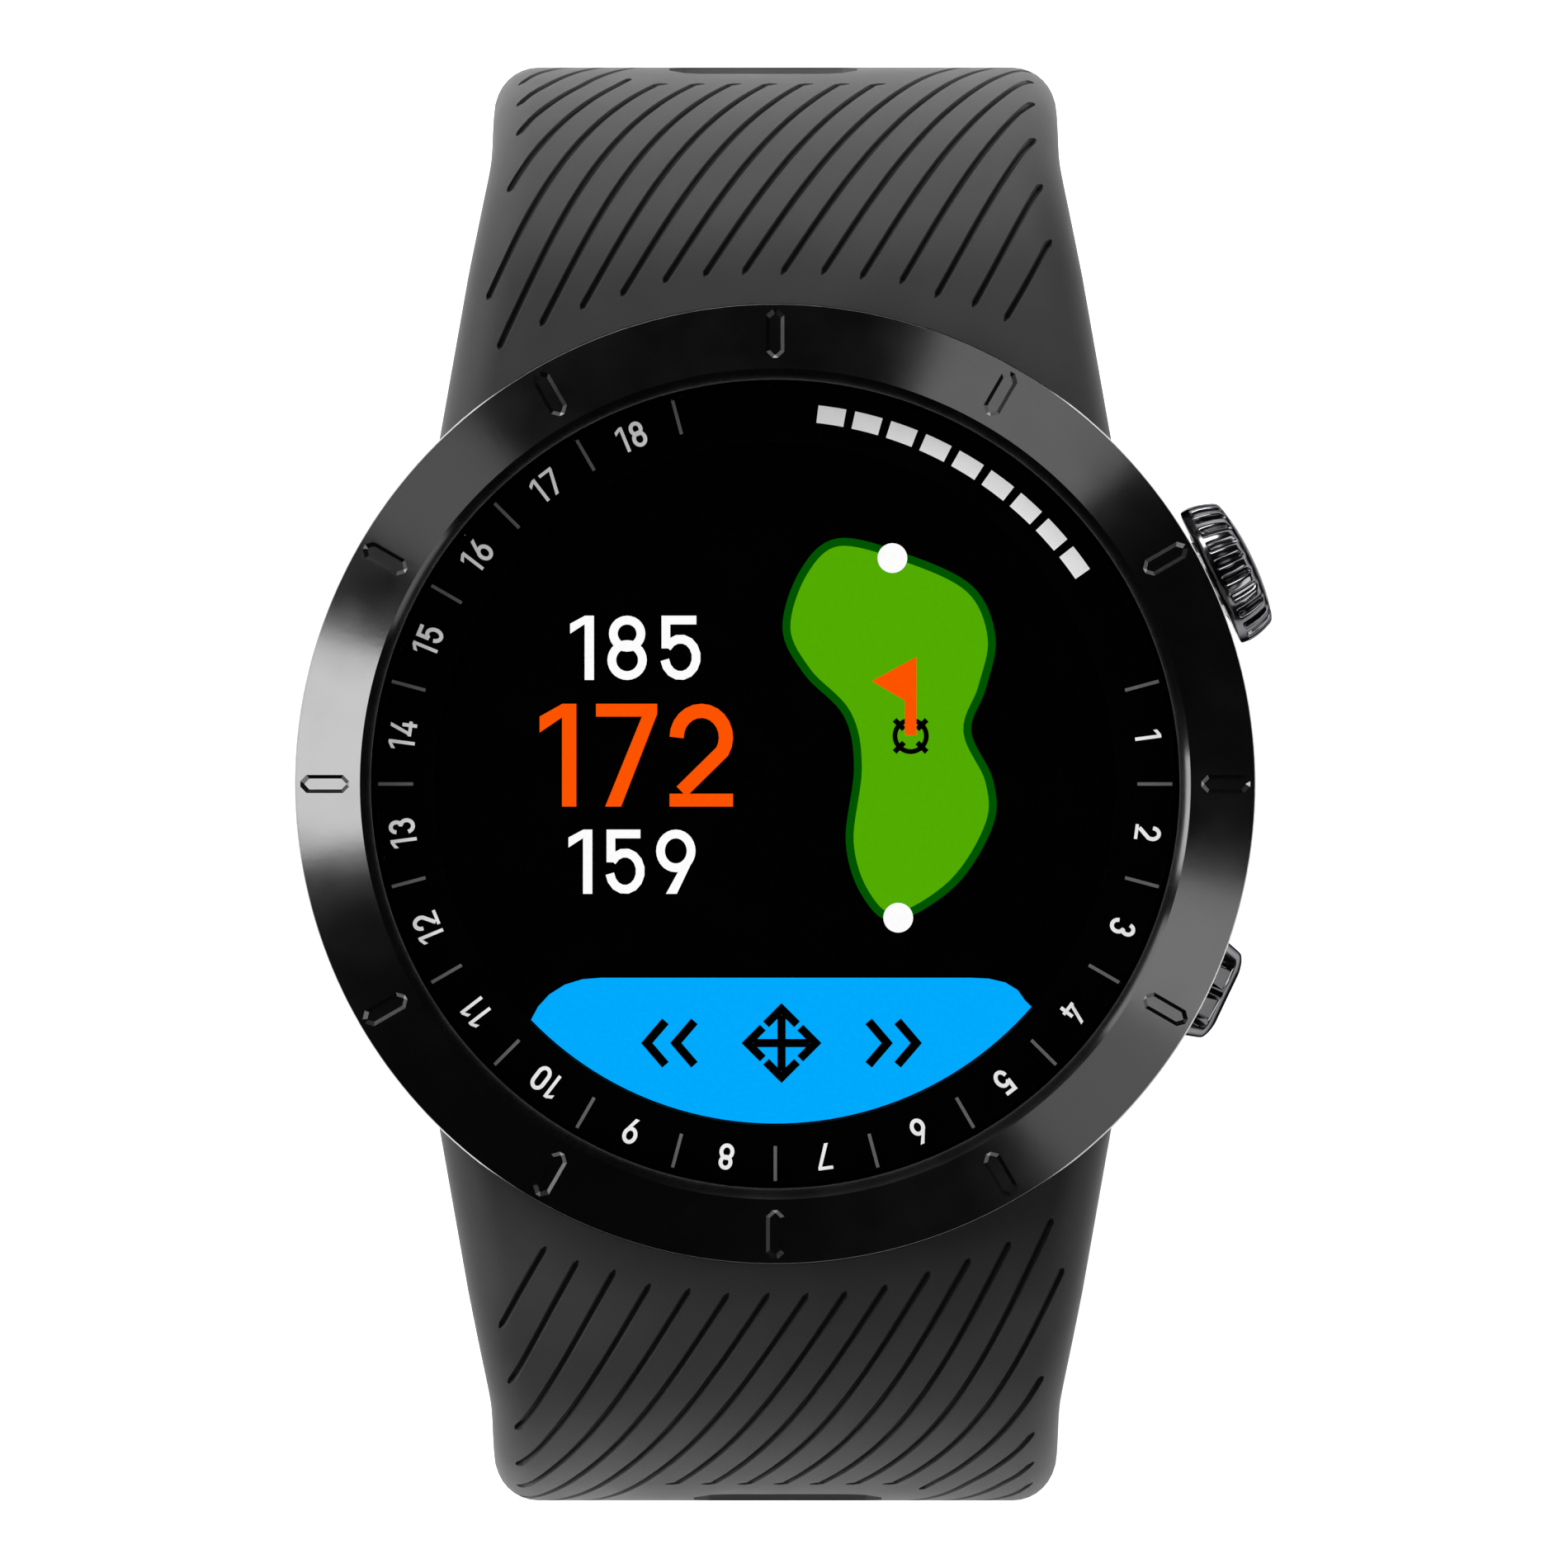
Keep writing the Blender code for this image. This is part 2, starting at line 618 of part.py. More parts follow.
def lug_pocket(name, side, hand):
    """The pocket that a lug sits in, deeper towards the case for the swing."""
    room = LUG_RADIUS + 0.45
    profile = [(12.0, 7.6), (12.0, -4.0), (BAR_Y, -4.0)]
    for i in range(7):
        angle = math.radians(-90.0 + 180.0 * i / 6)
        profile.append((BAR_Y + room * math.cos(angle), BAR_Z + room * math.sin(angle)))
    profile.append((17.0, 7.5))
    edges = (LUG_INNER - LUG_CLEARANCE, LUG_OUTER + LUG_CLEARANCE)
    rings = [[(hand * x, side * y, z) for y, z in profile] for x in edges]
    return new_solid(f"{name}_lug_pocket_{hand}", rings, SILICONE)


def arc_frame(angle, arc_radius, depth):
    """Origin and rotation at a place on the upper half: Y along the strap, Z out of it."""
    turn = math.radians(angle)
    out = Vector((0.0, math.cos(turn), math.sin(turn)))
    along = Vector((0.0, math.sin(turn), -math.cos(turn)))
    across = along.cross(out)
    centre = arc_centre(arc_radius)
    spot = Vector((0.0, centre.x, centre.y)) + out * (arc_radius - depth)
    return spot, Matrix((across, along, out)).transposed()


def upper_bar_frame():
    """The buckle bar's place, in the middle of the upper half's end."""
    back = math.degrees(BAR_FROM_END / UPPER_ARC_RADIUS)
    return arc_frame(-UPPER_ARC_ANGLE + back, UPPER_ARC_RADIUS, 0.5 * THICK_FREE)


def build_upper_strap():
    stations = strap_stations(UPPER_ARC_RADIUS, UPPER_ARC_ANGLE, 18, HALF_WIDTH_BUCKLE, THICK_BUCKLE)
    strap = strap_half("strap_upper", stations, 1)
    spot, turn = upper_bar_frame()
    frame = empty("buckle_bar_frame", spot, turn)
    hole = x_cylinder("buckle_bar_hole", BUCKLE_BAR_RADIUS + 0.1, (-14.0, 14.0), (0.0, 0.0), SILICONE, frame)
    outline = [(-1.5, -3.0), (1.5, -3.0), (1.5, 6.0), (-1.5, 6.0)]
    slot = prism("tongue_slot", outline, -4.0, 4.0, SILICONE, frame)
    cut(strap, hole, slot)


def build_lower_strap():
    steps = 22
    stations = strap_stations(LOWER_ARC_RADIUS, LOWER_ARC_ANGLE, steps, HALF_WIDTH_FREE, THICK_FREE)
    length = math.radians(LOWER_ARC_ANGLE) * LOWER_ARC_RADIUS
    tail = tail_stations(length)
    cutoff = sum(1 for i in range(1, steps + 1) if length * i / steps > length - TAIL_ROUND_LENGTH)
    stations = stations[:len(stations) - cutoff] + tail
    strap = strap_half("strap_lower", stations, -1)
    cut(strap, *tail_holes(length))


def tail_stations(length):
    """The round end of the tail."""
    centre = arc_centre(LOWER_ARC_RADIUS)
    stations = []
    for i in range(7):
        share = math.sin(math.radians(90.0) * i / 6) * 0.96
        angle = -(length - TAIL_ROUND_LENGTH + TAIL_ROUND_LENGTH * share) / LOWER_ARC_RADIUS
        out = Vector((math.cos(angle), math.sin(angle)))
        half = HALF_WIDTH_FREE * math.sqrt(1.0 - share * share)
        inner_reach = LOWER_ARC_RADIUS - THICK_FREE
        stations.append((centre + out * LOWER_ARC_RADIUS, centre + out * inner_reach, half))
    return stations


def tail_holes(length):
    """Cutters for the adjustment holes, slightly wide across the strap."""
    centre = arc_centre(LOWER_ARC_RADIUS)
    base = Vector((0.0, -centre.x, centre.y))
    cutters = []
    for index in range(HOLE_COUNT):
        angle = -(length - HOLE_FROM_TIP - HOLE_PITCH * index) / LOWER_ARC_RADIUS
        out = Vector((0.0, -math.cos(angle), math.sin(angle)))
        along = Vector((0.0, -math.sin(angle), -math.cos(angle)))
        rings = []
        for reach in (LOWER_ARC_RADIUS - 6.0, LOWER_ARC_RADIUS + 3.0):
            section = circle(1.0, 0.0, 12)
            rings.append([base + out * reach + along * (HOLE_HALF_LENGTH * y)
                          + Vector((HOLE_HALF_WIDTH * x, 0.0, 0.0)) for x, y, _ in section])
        cutters.append(new_solid(f"tail_hole_{index}", rings, SILICONE))
    return cutters


def build_keeper(name, angle, half_length):
    """A loop round the strap with room for the tail. Its parent is at the arc's centre."""
    centre = arc_centre(UPPER_ARC_RADIUS)
    spot, turn = arc_frame(angle, UPPER_ARC_RADIUS, 0.0)
    frame = empty(f"{name}_arc_centre", (0.0, centre.x, centre.y), turn)
    reach = UPPER_ARC_RADIUS
    low = reach - THICK_FREE - KEEPER_PLAY
    high = low + KEEPER_ROOM
    inner_half = HALF_WIDTH_FREE + KEEPER_PLAY
    outlines = []
    for grow in (0.0, KEEPER_WALL):
        half_height = 0.5 * (high - low) + grow
        centre_height = 0.5 * (high + low)
        outline = rounded_box_outline(inner_half + grow, half_height, 0.8 + grow)
        outlines.append([(x, centre_height + y) for x, y in outline])
    inner, outer = outlines
    edge = 0.35
    rings = [
        [(x, -half_length, z) for x, z in inner],
        [(x, half_length, z) for x, z in inner],
        [(x * 0.99, half_length, z) for x, z in outer],
        [(x, half_length - edge, z) for x, z in outer],
        [(x, edge - half_length, z) for x, z in outer],
        [(x * 0.99, -half_length, z) for x, z in outer],
    ]
    new_solid(name, rings, SILICONE, closed=True, parent=frame)


def build_spring_bar(name, side):
    """Tube, fixed pin and sliding pin with its lever. The lever is at -X on the upper half."""
    turn = Matrix.Rotation(math.pi if side < 0 else 0.0, 3, "Z")
    frame = empty(f"{name}_bar_axis", (0.0, side * BAR_Y, BAR_Z), turn)
    bore_end = -4.2
    rings = []
    for radius, x in ((0.55, bore_end), (0.55, -BAR_HALF), (0.9, -BAR_HALF), (0.9, BAR_HALF)):
        rings.append([(x, y, z) for y, z, _ in circle(radius, 0.0, SMALL)])
    tube = new_solid(f"spring_bar_{name}", rings, STEEL, parent=frame)
    outline = [(-8.7, -0.5), (-5.8, -0.5), (-5.8, 0.5), (-8.7, 0.5)]
    cut(tube, prism(f"{name}_slot", outline, -2.0, 0.0, STEEL, frame))
    x_cylinder(f"spring_bar_pin_{name}", PIN_RADIUS, (BAR_HALF + 0.1, PIN_END), (0.0, 0.0), STEEL, frame)
    pin = x_cylinder(f"quick_release_pin_{name}", PIN_RADIUS, (-PIN_END, -6.2), (0.0, 0.0), STEEL, frame)
    stud = circle(0.4, -2.85, 12)
    rings = [[(x - 8.1, y, z) for x, y, z in stud], [(x - 8.1, y, 0.0) for x, y, _ in stud]]
    lever = new_solid(f"{name}_lever", rings, STEEL, parent=frame)
    combine(pin, lever, "UNION")


def build_buckle():
    spot, turn = upper_bar_frame()
    frame = empty("buckle_axis", spot, turn)
    corner = 3.0
    outline = [(BUCKLE_OUTER, BUCKLE_REAR)]
    outline += corner_points(BUCKLE_OUTER, BUCKLE_FRONT_FAR, corner, 1)
    outline += corner_points(BUCKLE_OUTER, BUCKLE_FRONT_FAR, corner, -1)
    outline += [(-BUCKLE_OUTER, BUCKLE_REAR), (-BUCKLE_INNER, BUCKLE_REAR)]
    outline += reversed(corner_points(BUCKLE_INNER, BUCKLE_FRONT_NEAR, 1.2, -1))
    outline += reversed(corner_points(BUCKLE_INNER, BUCKLE_FRONT_NEAR, 1.2, 1))
    outline.append((BUCKLE_INNER, BUCKLE_REAR))
    body = prism("buckle_frame", outline, -BUCKLE_HALF_THICK, BUCKLE_HALF_THICK, STEEL_DARK, frame)
    seat = BUCKLE_BAR_RADIUS + 0.06
    hole = x_cylinder("buckle_frame_bar_hole", seat, (-12.8, 12.8), (0.0, 0.0), STEEL_DARK, frame)
    bevelled(body, 0.35)
    cut(body, hole)
    x_cylinder("buckle_bar", BUCKLE_BAR_RADIUS, (-12.6, 12.6), (0.0, 0.0), STEEL, frame)
    build_tongue(frame)


def corner_points(half, far, radius, hand, steps=4):
    """A rounded corner of the buckle's outline, walked from +X towards -X."""
    points = []
    for i in range(steps + 1):
        angle = math.radians(90.0 * i / steps)
        x = half - radius + radius * math.cos(angle)
        y = far - radius + radius * math.sin(angle)
        points.append((hand * x, y))
    return points if hand > 0 else points[::-1]


def build_tongue(frame):
    """A bent tongue: an eye round the bar, then a run that rests on the frame's front."""
    eye = 1.5
    rest = BUCKLE_HALF_THICK + 0.1
    profile = []
    for i in range(9):
        angle = math.radians(60.0 + 240.0 * i / 8)
        profile.append((eye * math.cos(angle), eye * math.sin(angle)))
    profile += [
        (3.2, -0.2), (6.6, rest - 0.25), (BUCKLE_FRONT_NEAR - 0.4, rest), (TONGUE_LENGTH, rest),
        (TONGUE_LENGTH + 0.2, rest + 0.6), (TONGUE_LENGTH - 0.4, rest + 1.2), (6.4, rest + 1.15),
    ]
    rings = [[(x, y, z) for y, z in profile] for x in (-TONGUE_HALF_WIDTH, TONGUE_HALF_WIDTH)]
    tongue = new_solid("buckle_tongue", rings, STEEL_DARK, parent=frame)
    seat = BUCKLE_BAR_RADIUS + 0.08
    eye_hole = x_cylinder("tongue_eye", seat, (-3.0, 3.0), (0.0, 0.0), STEEL_DARK, frame)
    cut(tongue, eye_hole)


def clear_scene():
    for old in list(bpy.data.objects):
        bpy.data.objects.remove(old, do_unlink=True)


clear_scene()
build_case()
build_bezel()
build_crystal()
build_dial_ring()
build_inside()
build_case_back()
build_crown()
build_button()
build_upper_strap()
build_lower_strap()
build_spring_bar("upper", 1)
build_spring_bar("lower", -1)
build_keeper("keeper_fixed", FIXED_KEEPER_ANGLE, 2.4)
build_keeper("keeper_free", FREE_KEEPER_ANGLE, 2.8)
build_buckle()
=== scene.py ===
"""The looks of a golf GPS watch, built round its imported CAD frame.

Lengths are in millimetres in the CAD's own axes until a mesh is made, and metres after that.
"""
import bisect
import math

import bmesh
import bpy
from mathutils import Matrix, Vector


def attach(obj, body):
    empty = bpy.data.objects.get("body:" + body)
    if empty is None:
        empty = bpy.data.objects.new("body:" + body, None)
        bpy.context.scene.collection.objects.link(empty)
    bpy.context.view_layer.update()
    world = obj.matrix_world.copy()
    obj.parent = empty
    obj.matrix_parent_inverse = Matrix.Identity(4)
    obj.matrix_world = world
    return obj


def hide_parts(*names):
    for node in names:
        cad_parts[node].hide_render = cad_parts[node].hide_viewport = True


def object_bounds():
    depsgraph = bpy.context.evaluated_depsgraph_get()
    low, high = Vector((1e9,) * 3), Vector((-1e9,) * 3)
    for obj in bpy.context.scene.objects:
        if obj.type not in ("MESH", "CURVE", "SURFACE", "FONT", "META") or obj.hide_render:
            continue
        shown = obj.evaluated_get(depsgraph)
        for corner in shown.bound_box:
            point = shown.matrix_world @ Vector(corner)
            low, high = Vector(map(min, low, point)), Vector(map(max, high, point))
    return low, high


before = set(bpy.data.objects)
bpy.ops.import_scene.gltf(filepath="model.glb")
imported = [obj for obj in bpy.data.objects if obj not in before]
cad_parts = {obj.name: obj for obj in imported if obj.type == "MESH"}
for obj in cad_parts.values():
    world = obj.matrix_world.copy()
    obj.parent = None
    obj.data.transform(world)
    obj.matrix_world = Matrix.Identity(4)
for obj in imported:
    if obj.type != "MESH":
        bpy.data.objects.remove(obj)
cad_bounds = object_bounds()

MM = 0.001
OFF_EDGE = Matrix.Rotation(0.0137, 4, "Z")  # keeps a cutter's corners off other corners
CROWN_FLUTES = 24
LIT_STRENGTH = 1.2
LAMP_DISTANCE = 1.6

# The bezel's corners, as (radius, height). It stands 0.15 mm proud of the CAD's.
BEZEL_RADIUS = 23.15
BEZEL_RIM = (23.09, 12.045)
BEZEL_CREST = (19.98, 12.95)
BEZEL_LIP = (19.43, 12.51)

# Sizes that the CAD's solids have too.
BAR_Y = 24.5
BAR_Z = 4.1
LUG_INNER = 11.0
LUG_OUTER = 13.5
LUG_RADIUS = 2.0
CONTROL_HEIGHT = 5.2
CROWN_ANGLE = 25.3
BUTTON_ANGLE = -25.4
HORIZON_Y = 35.2
HORIZON_Z = -9.0
STRAP_TOP = 8.3
STRAP_UNDERSIDE = 1.6
THICK_HORIZON = 3.4
THICK_FREE = 2.9
THICK_BUCKLE = 3.3
HALF_WIDTH_HORIZON = 13.75
HALF_WIDTH_FREE = 11.0
HALF_WIDTH_BUCKLE = 10.0
FLARE_START_Y = 30.9
FLARE_SLOPE = 0.177
SHOULDER_RADIUS = 2.2
TAPER_LENGTH = 17.0
UPPER_ARC_RADIUS = 36.0
UPPER_ARC_ANGLE = 80.0
LOWER_ARC_RADIUS = 60.0
LOWER_ARC_ANGLE = 85.0
TAIL_ROUND_LENGTH = 8.0
BAR_FROM_END = 2.0
KEEPER_GAP = 0.35
KEEPER_ROOM = 6.2

# Heights of what is printed on the dial ring and lit on the display.
PRINT_LOW, PRINT_HIGH = 10.28, 10.33
SCREEN_BASE = 9.61
SCREEN_LAYER = 0.02

# The photo's view, in mm: the camera's height and side step, and what it sees at 1 m.
CAMERA_HEIGHT = 1013.0
CAMERA_SIDE = 0.42
VIEW_WIDTH = 75.4
SENSOR_WIDTH = 36.0


# ---- materials


def surface(name, colour, roughness, metallic=0.0, vary=0.12, patch=2.5, rough_vary=0.05,
            grain=0.25, relief=0.004, **settings):
    """A Principled material with patches of slightly other colour and gloss, and a grain.

    patch and grain are the sizes of the two noises, and relief is the grain's height, in mm.
    """
    made = bpy.data.materials.new(name + "_look")
    made.use_nodes = True
    nodes = made.node_tree.nodes
    link = made.node_tree.links.new
    shader = nodes["Principled BSDF"]
    place = nodes.new("ShaderNodeTexCoord")
    noises = []
    for size, detail in ((patch, 3.0), (grain, 2.0)):
        noise = nodes.new("ShaderNodeTexNoise")
        noise.inputs["Scale"].default_value = 1.0 / (size * MM)
        noise.inputs["Detail"].default_value = detail
        link(place.outputs["Object"], noise.inputs["Vector"])
        noises.append(noise)
    ramp = nodes.new("ShaderNodeValToRGB")
    ends = ((0.3, 1.0 - vary), (0.7, 1.0 + vary))
    for element, (position, factor) in zip(ramp.color_ramp.elements, ends):
        element.position = position
        element.color = (*(min(1.0, c * factor) for c in colour), 1.0)
    link(noises[0].outputs["Fac"], ramp.inputs["Fac"])
    link(ramp.outputs["Color"], shader.inputs["Base Color"])
    gloss = nodes.new("ShaderNodeMapRange")
    gloss.inputs["From Min"].default_value = 0.3
    gloss.inputs["From Max"].default_value = 0.7
    gloss.inputs["To Min"].default_value = max(0.0, roughness - rough_vary)
    gloss.inputs["To Max"].default_value = roughness + rough_vary
    link(noises[0].outputs["Fac"], gloss.inputs["Value"])
    link(gloss.outputs["Result"], shader.inputs["Roughness"])
    bump = nodes.new("ShaderNodeBump")
    bump.inputs["Strength"].default_value = 1.0
    bump.inputs["Distance"].default_value = relief * MM
    link(noises[1].outputs["Fac"], bump.inputs["Height"])
    link(bump.outputs["Normal"], shader.inputs["Normal"])
    shader.inputs["Metallic"].default_value = metallic
    for socket, value in settings.items():
        shader.inputs[socket.replace("_", " ")].default_value = value
    return made


def glowing(name, colour):
    """A lit area of the display: its own light, with a faint unevenness."""
    made = surface(name, (0.0, 0.0, 0.0), 0.5, relief=0.0, Specular_IOR_Level=0.0)
    nodes = made.node_tree.nodes
    link = made.node_tree.links.new
    shader = nodes["Principled BSDF"]
    noise = nodes.new("ShaderNodeTexNoise")
    noise.inputs["Scale"].default_value = 1.0 / (0.2 * MM)
    ramp = nodes.new("ShaderNodeValToRGB")
    linear = [(c / 255.0) ** 2.2 for c in colour]
    for element, factor in zip(ramp.color_ramp.elements, (0.95, 1.05)):
        element.color = (*(c * factor for c in linear), 1.0)
    link(nodes["Texture Coordinate"].outputs["Object"], noise.inputs["Vector"])
    link(noise.outputs["Fac"], ramp.inputs["Fac"])
    link(ramp.outputs["Color"], shader.inputs["Emission Color"])
    shader.inputs["Emission Strength"].default_value = LIT_STRENGTH
    return made


# paint_nodes finds a look by its slot's name, so the looks of inner parts need no name here.
CERAMIC = surface("bezel_ceramic", (0.001, 0.001, 0.0011), 0.12, vary=0.1, rough_vary=0.015,
                  grain=0.3, relief=0.0004, IOR=2.1)
SILICONE = surface("strap_silicone", (0.037, 0.037, 0.0375), 0.6, vary=0.08, patch=4.0,
                   rough_vary=0.04, grain=0.12, relief=0.005, IOR=1.4, Specular_IOR_Level=0.22)
CASE_METAL = surface("case_metal", (0.035, 0.036, 0.039), 0.32, 1.0, vary=0.1, grain=0.08,
                     relief=0.002)
CROWN_METAL = surface("crown_metal", (0.13, 0.13, 0.137), 0.15, 1.0, vary=0.08, grain=0.2,
                      relief=0.0006, rough_vary=0.03, Specular_Tint=(0.12, 0.12, 0.12, 1.0))
BUTTON_METAL = surface("button_metal", (0.13, 0.13, 0.136), 0.15, 1.0, vary=0.1, grain=0.2,
                       relief=0.0006, rough_vary=0.03, Specular_Tint=(0.12, 0.12, 0.12, 1.0))
BUCKLE_METAL = surface("buckle_metal", (0.045, 0.046, 0.05), 0.3, 1.0, vary=0.12, grain=0.06,
                       relief=0.0025)
BACK_STEEL = surface("case_back_steel", (0.42, 0.42, 0.43), 0.33, 1.0, vary=0.06, grain=0.05,
                     relief=0.002)
BARE_STEEL = surface("bare_steel", (0.55, 0.55, 0.56), 0.3, 1.0, vary=0.08, grain=0.1)
surface("contact_gold", (0.85, 0.6, 0.26), 0.28, 1.0, vary=0.08, grain=0.1)
surface("seal_rubber", (0.003, 0.003, 0.003), 0.65, Specular_IOR_Level=0.1)
surface("inner_plastic", (0.005, 0.005, 0.0055), 0.45, relief=0.001)
surface("display_glass", (0.0003, 0.0003, 0.0004), 0.3, relief=0.0, Specular_IOR_Level=0.02)
DIAL_BLACK = surface("dial_black", (0.0003, 0.0003, 0.0003), 0.4, relief=0.001,
                     Specular_IOR_Level=0.02)
surface("circuit_board", (0.01, 0.07, 0.03), 0.45, vary=0.4, patch=0.8)
surface("battery_foil", (0.5, 0.51, 0.53), 0.35, 1.0, patch=1.5)
surface("antenna_copper", (0.7, 0.36, 0.2), 0.35, 1.0)
CRYSTAL = surface("crystal_glass", (0.0004, 0.0004, 0.0004), 0.03, rough_vary=0.01, relief=0.0,
                  Alpha=0.1, IOR=1.25)
# The dial's white and grey print also glows faintly. This is painted light that lifts the print out
# of the shade that the bezel's lip and the crystal cast on it.
PRINT_WHITE_PAINTED_GLOW = surface("print_white", (0.85, 0.85, 0.85), 0.5, vary=0.03, Emission_Strength=0.3)
PRINT_GREY_PAINTED_GLOW = surface("print_grey", (0.12, 0.12, 0.12), 0.5, vary=0.05, Emission_Strength=0.03)
SCREEN_WHITE = glowing("screen_white", (255, 255, 255))
SCREEN_ORANGE = glowing("screen_orange", (255, 85, 0))
SCREEN_GREEN = glowing("screen_green", (84, 172, 0))
SCREEN_DARK_GREEN = glowing("screen_dark_green", (0, 88, 0))
SCREEN_BLUE = glowing("screen_blue", (0, 170, 255))
SCREEN_BLACK = glowing("screen_black", (4, 6, 8))


def paint_nodes():
    """Give every CAD node the look that is named after its slot."""
    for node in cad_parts.values():
        for slot in node.material_slots:
            key = slot.material.name.split(".")[0] if slot.material else ""
            slot.material = bpy.data.materials.get(key + "_look") or BARE_STEEL


# ---- solids


def add_rings(bm, rings, closed=False, place=None, caps=True):
    """A closed skin through rings of points. A ring of one point is a pole."""
    place = place or Matrix.Identity(4)
    made = [[bm.verts.new((place @ Vector(p)) * MM) for p in ring] for ring in rings]
    pairs = list(zip(made, made[1:]))
    if closed:
        pairs.append((made[-1], made[0]))
    for low, high in pairs:
        count = max(len(low), len(high))
        for i in range(count):
            j = (i + 1) % count
            corners = [low[i % len(low)], low[j % len(low)],
                       high[j % len(high)], high[i % len(high)]]
            bm.faces.new(list(dict.fromkeys(corners)))
    if caps and not closed:
        for ring in (made[0], made[-1]):
            if len(ring) > 2:
                bm.faces.new(ring)


def new_object(name, bm, look=None):
    bmesh.ops.recalc_face_normals(bm, faces=bm.faces)
    mesh = bpy.data.meshes.new(name)
    bm.to_mesh(mesh)
    bm.free()
    if look:
        mesh.materials.append(look)
    made = bpy.data.objects.new(name, mesh)
    bpy.context.scene.collection.objects.link(made)
    return made


def solid(name, rings, look=None, closed=False, place=None):
    bm = bmesh.new()
    add_rings(bm, rings, closed, place)
    return new_object(name, bm, look)


def circle(radius, height, count, phase=0.0):
    """Points on a circle at a height. radius may be a function of the angle.

    A phase of half a step keeps a cutter's corners off the edges of what it cuts.
    """
    points = []
    for i in range(count):
        angle = 2.0 * math.pi * (i + phase) / count
        r = radius(angle) if callable(radius) else radius
        points.append((r * math.cos(angle), r * math.sin(angle), height))
    return points


def arc(centre, radii, start, end, steps=14):
    """Points on an ellipse's arc, between two angles in degrees."""
    points = []
    for i in range(steps + 1):
        angle = math.radians(start + (end - start) * i / steps)
        points.append((centre[0] + radii[0] * math.cos(angle),
                       centre[1] + radii[1] * math.sin(angle)))
    return points


def loop(centre, radii):
    return arc(centre, radii, 0.0, 360.0, 28)[:-1]


def softened(points, radius, closed=True, steps=3):
    """Round the corners of an outline of (x, y) points. A point may bring its own radius."""
    result = []
    last = len(points) - 1
    for i, point in enumerate(points):
        here = Vector(point[:2])
        reach = point[2] if len(point) > 2 else radius
        if reach == 0.0 or (not closed and i in (0, last)):
            result.append(tuple(here))
            continue
        before = Vector(points[i - 1][:2]) - here
        after = Vector(points[(i + 1) % len(points)][:2]) - here
        turn = before.angle(after)
        if turn > math.radians(177.0):
            result.append(tuple(here))
            continue
        back = min(reach / math.tan(turn / 2.0), 0.45 * before.length, 0.45 * after.length)
        start = here + before.normalized() * back
        end = here + after.normalized() * back
        for step in range(steps + 1):
            t = step / steps
            result.append(tuple(start * (1 - t) ** 2 + here * 2 * t * (1 - t) + end * t * t))
    return result


def turned(name, profile, look=None, count=96, closed=False, place=None):
    """A solid turned about Z from (radius, height) points. Radius 0 gives a pole."""
    rings = []
    for radius, height in profile:
        pole = not callable(radius) and radius == 0.0
        rings.append([(0.0, 0.0, height)] if pole else circle(radius, height, count))
    return solid(name, rings, look, closed, place)


def rod(name, radius, low, high, count, place):
    """A plain round cutter along Z."""
    profile = [(0.0, low), (radius, low), (radius, high), (0.0, high)]
    return turned(name, profile, count=count, place=place)


def prism(name, outline, low, high, place=None, edge=0.0):
    """An outline in X and Y, from low to high along Z, with its two rims bevelled by edge."""
    levels = [(0.0, low), (0.0, high)]
    if edge:
        levels = [(edge, low), (0.0, low + edge), (0.0, high - edge), (edge, high)]
    rings = []
    for inset, height in levels:
        rings.append([(x, y, height) for x, y in inset_outline(outline, inset)])
    return solid(name, rings, place=place)


def inset_outline(outline, inset):
    """Move an anticlockwise outline inwards."""
    if not inset:
        return outline
    moved = []
    count = len(outline)
    for i, point in enumerate(outline):
        here = Vector(point)
        before = (here - Vector(outline[i - 1])).normalized()
        after = (Vector(outline[(i + 1) % count]) - here).normalized()
        normal = Vector((-before.y - after.y, before.x + after.x)).normalized()
        share = max(0.5, normal.dot(Vector((-after.y, after.x))))
        moved.append(tuple(here + normal * (inset / share)))
    return moved


def combined(target, operation, cutters):
    for cutter in cutters:
        step = target.modifiers.new("step", "BOOLEAN")
        step.operation = operation
        step.solver = "EXACT"
        step.object = cutter
    bpy.context.view_layer.update()
    graph = bpy.context.evaluated_depsgraph_get()
    mesh = bpy.data.meshes.new_from_object(target.evaluated_get(graph))
    target.modifiers.clear()
    target.data = mesh
    for cutter in cutters:
        bpy.data.objects.remove(cutter)
    return target


def cut(target, *cutters):
    return combined(target, "DIFFERENCE", cutters)


def joined(target, *others):
    return combined(target, "UNION", others)


def finished(piece, body, slot, *replaced, sharp=30.0):
    """Smooth the piece between its edges, keep large faces flat, and hang it on its body."""
    piece.data.shade_smooth()
    piece.data.set_sharp_from_angle(angle=math.radians(sharp))
    flat = piece.modifiers.new("large_faces_flat", "WEIGHTED_NORMAL")
    flat.keep_sharp = True
    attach(piece, body)
    if replaced:
        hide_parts(*replaced)
    return piece


def rounded_box(half_x, half_y, radius, steps=6):
    """An anticlockwise outline with rounded corners, about the origin."""
    points = []
    for quarter, (sx, sy) in enumerate(((1, 1), (-1, 1), (-1, -1), (1, -1))):
        for i in range(steps + 1):
            angle = math.radians(90.0 * (quarter + i / steps))
            x = sx * (half_x - radius) + radius * math.cos(angle)
            y = sy * (half_y - radius) + radius * math.sin(angle)
            points.append((x, y))
    return points


def pill(half_length, half_height, height):
    """A pill outline, long in X, at a height along Z."""
    end = arc((half_length - half_height, 0.0), (half_height, half_height), -90.0, 90.0, 12)
    return [(hand * x, hand * y, height) for hand in (1, -1) for x, y in end]


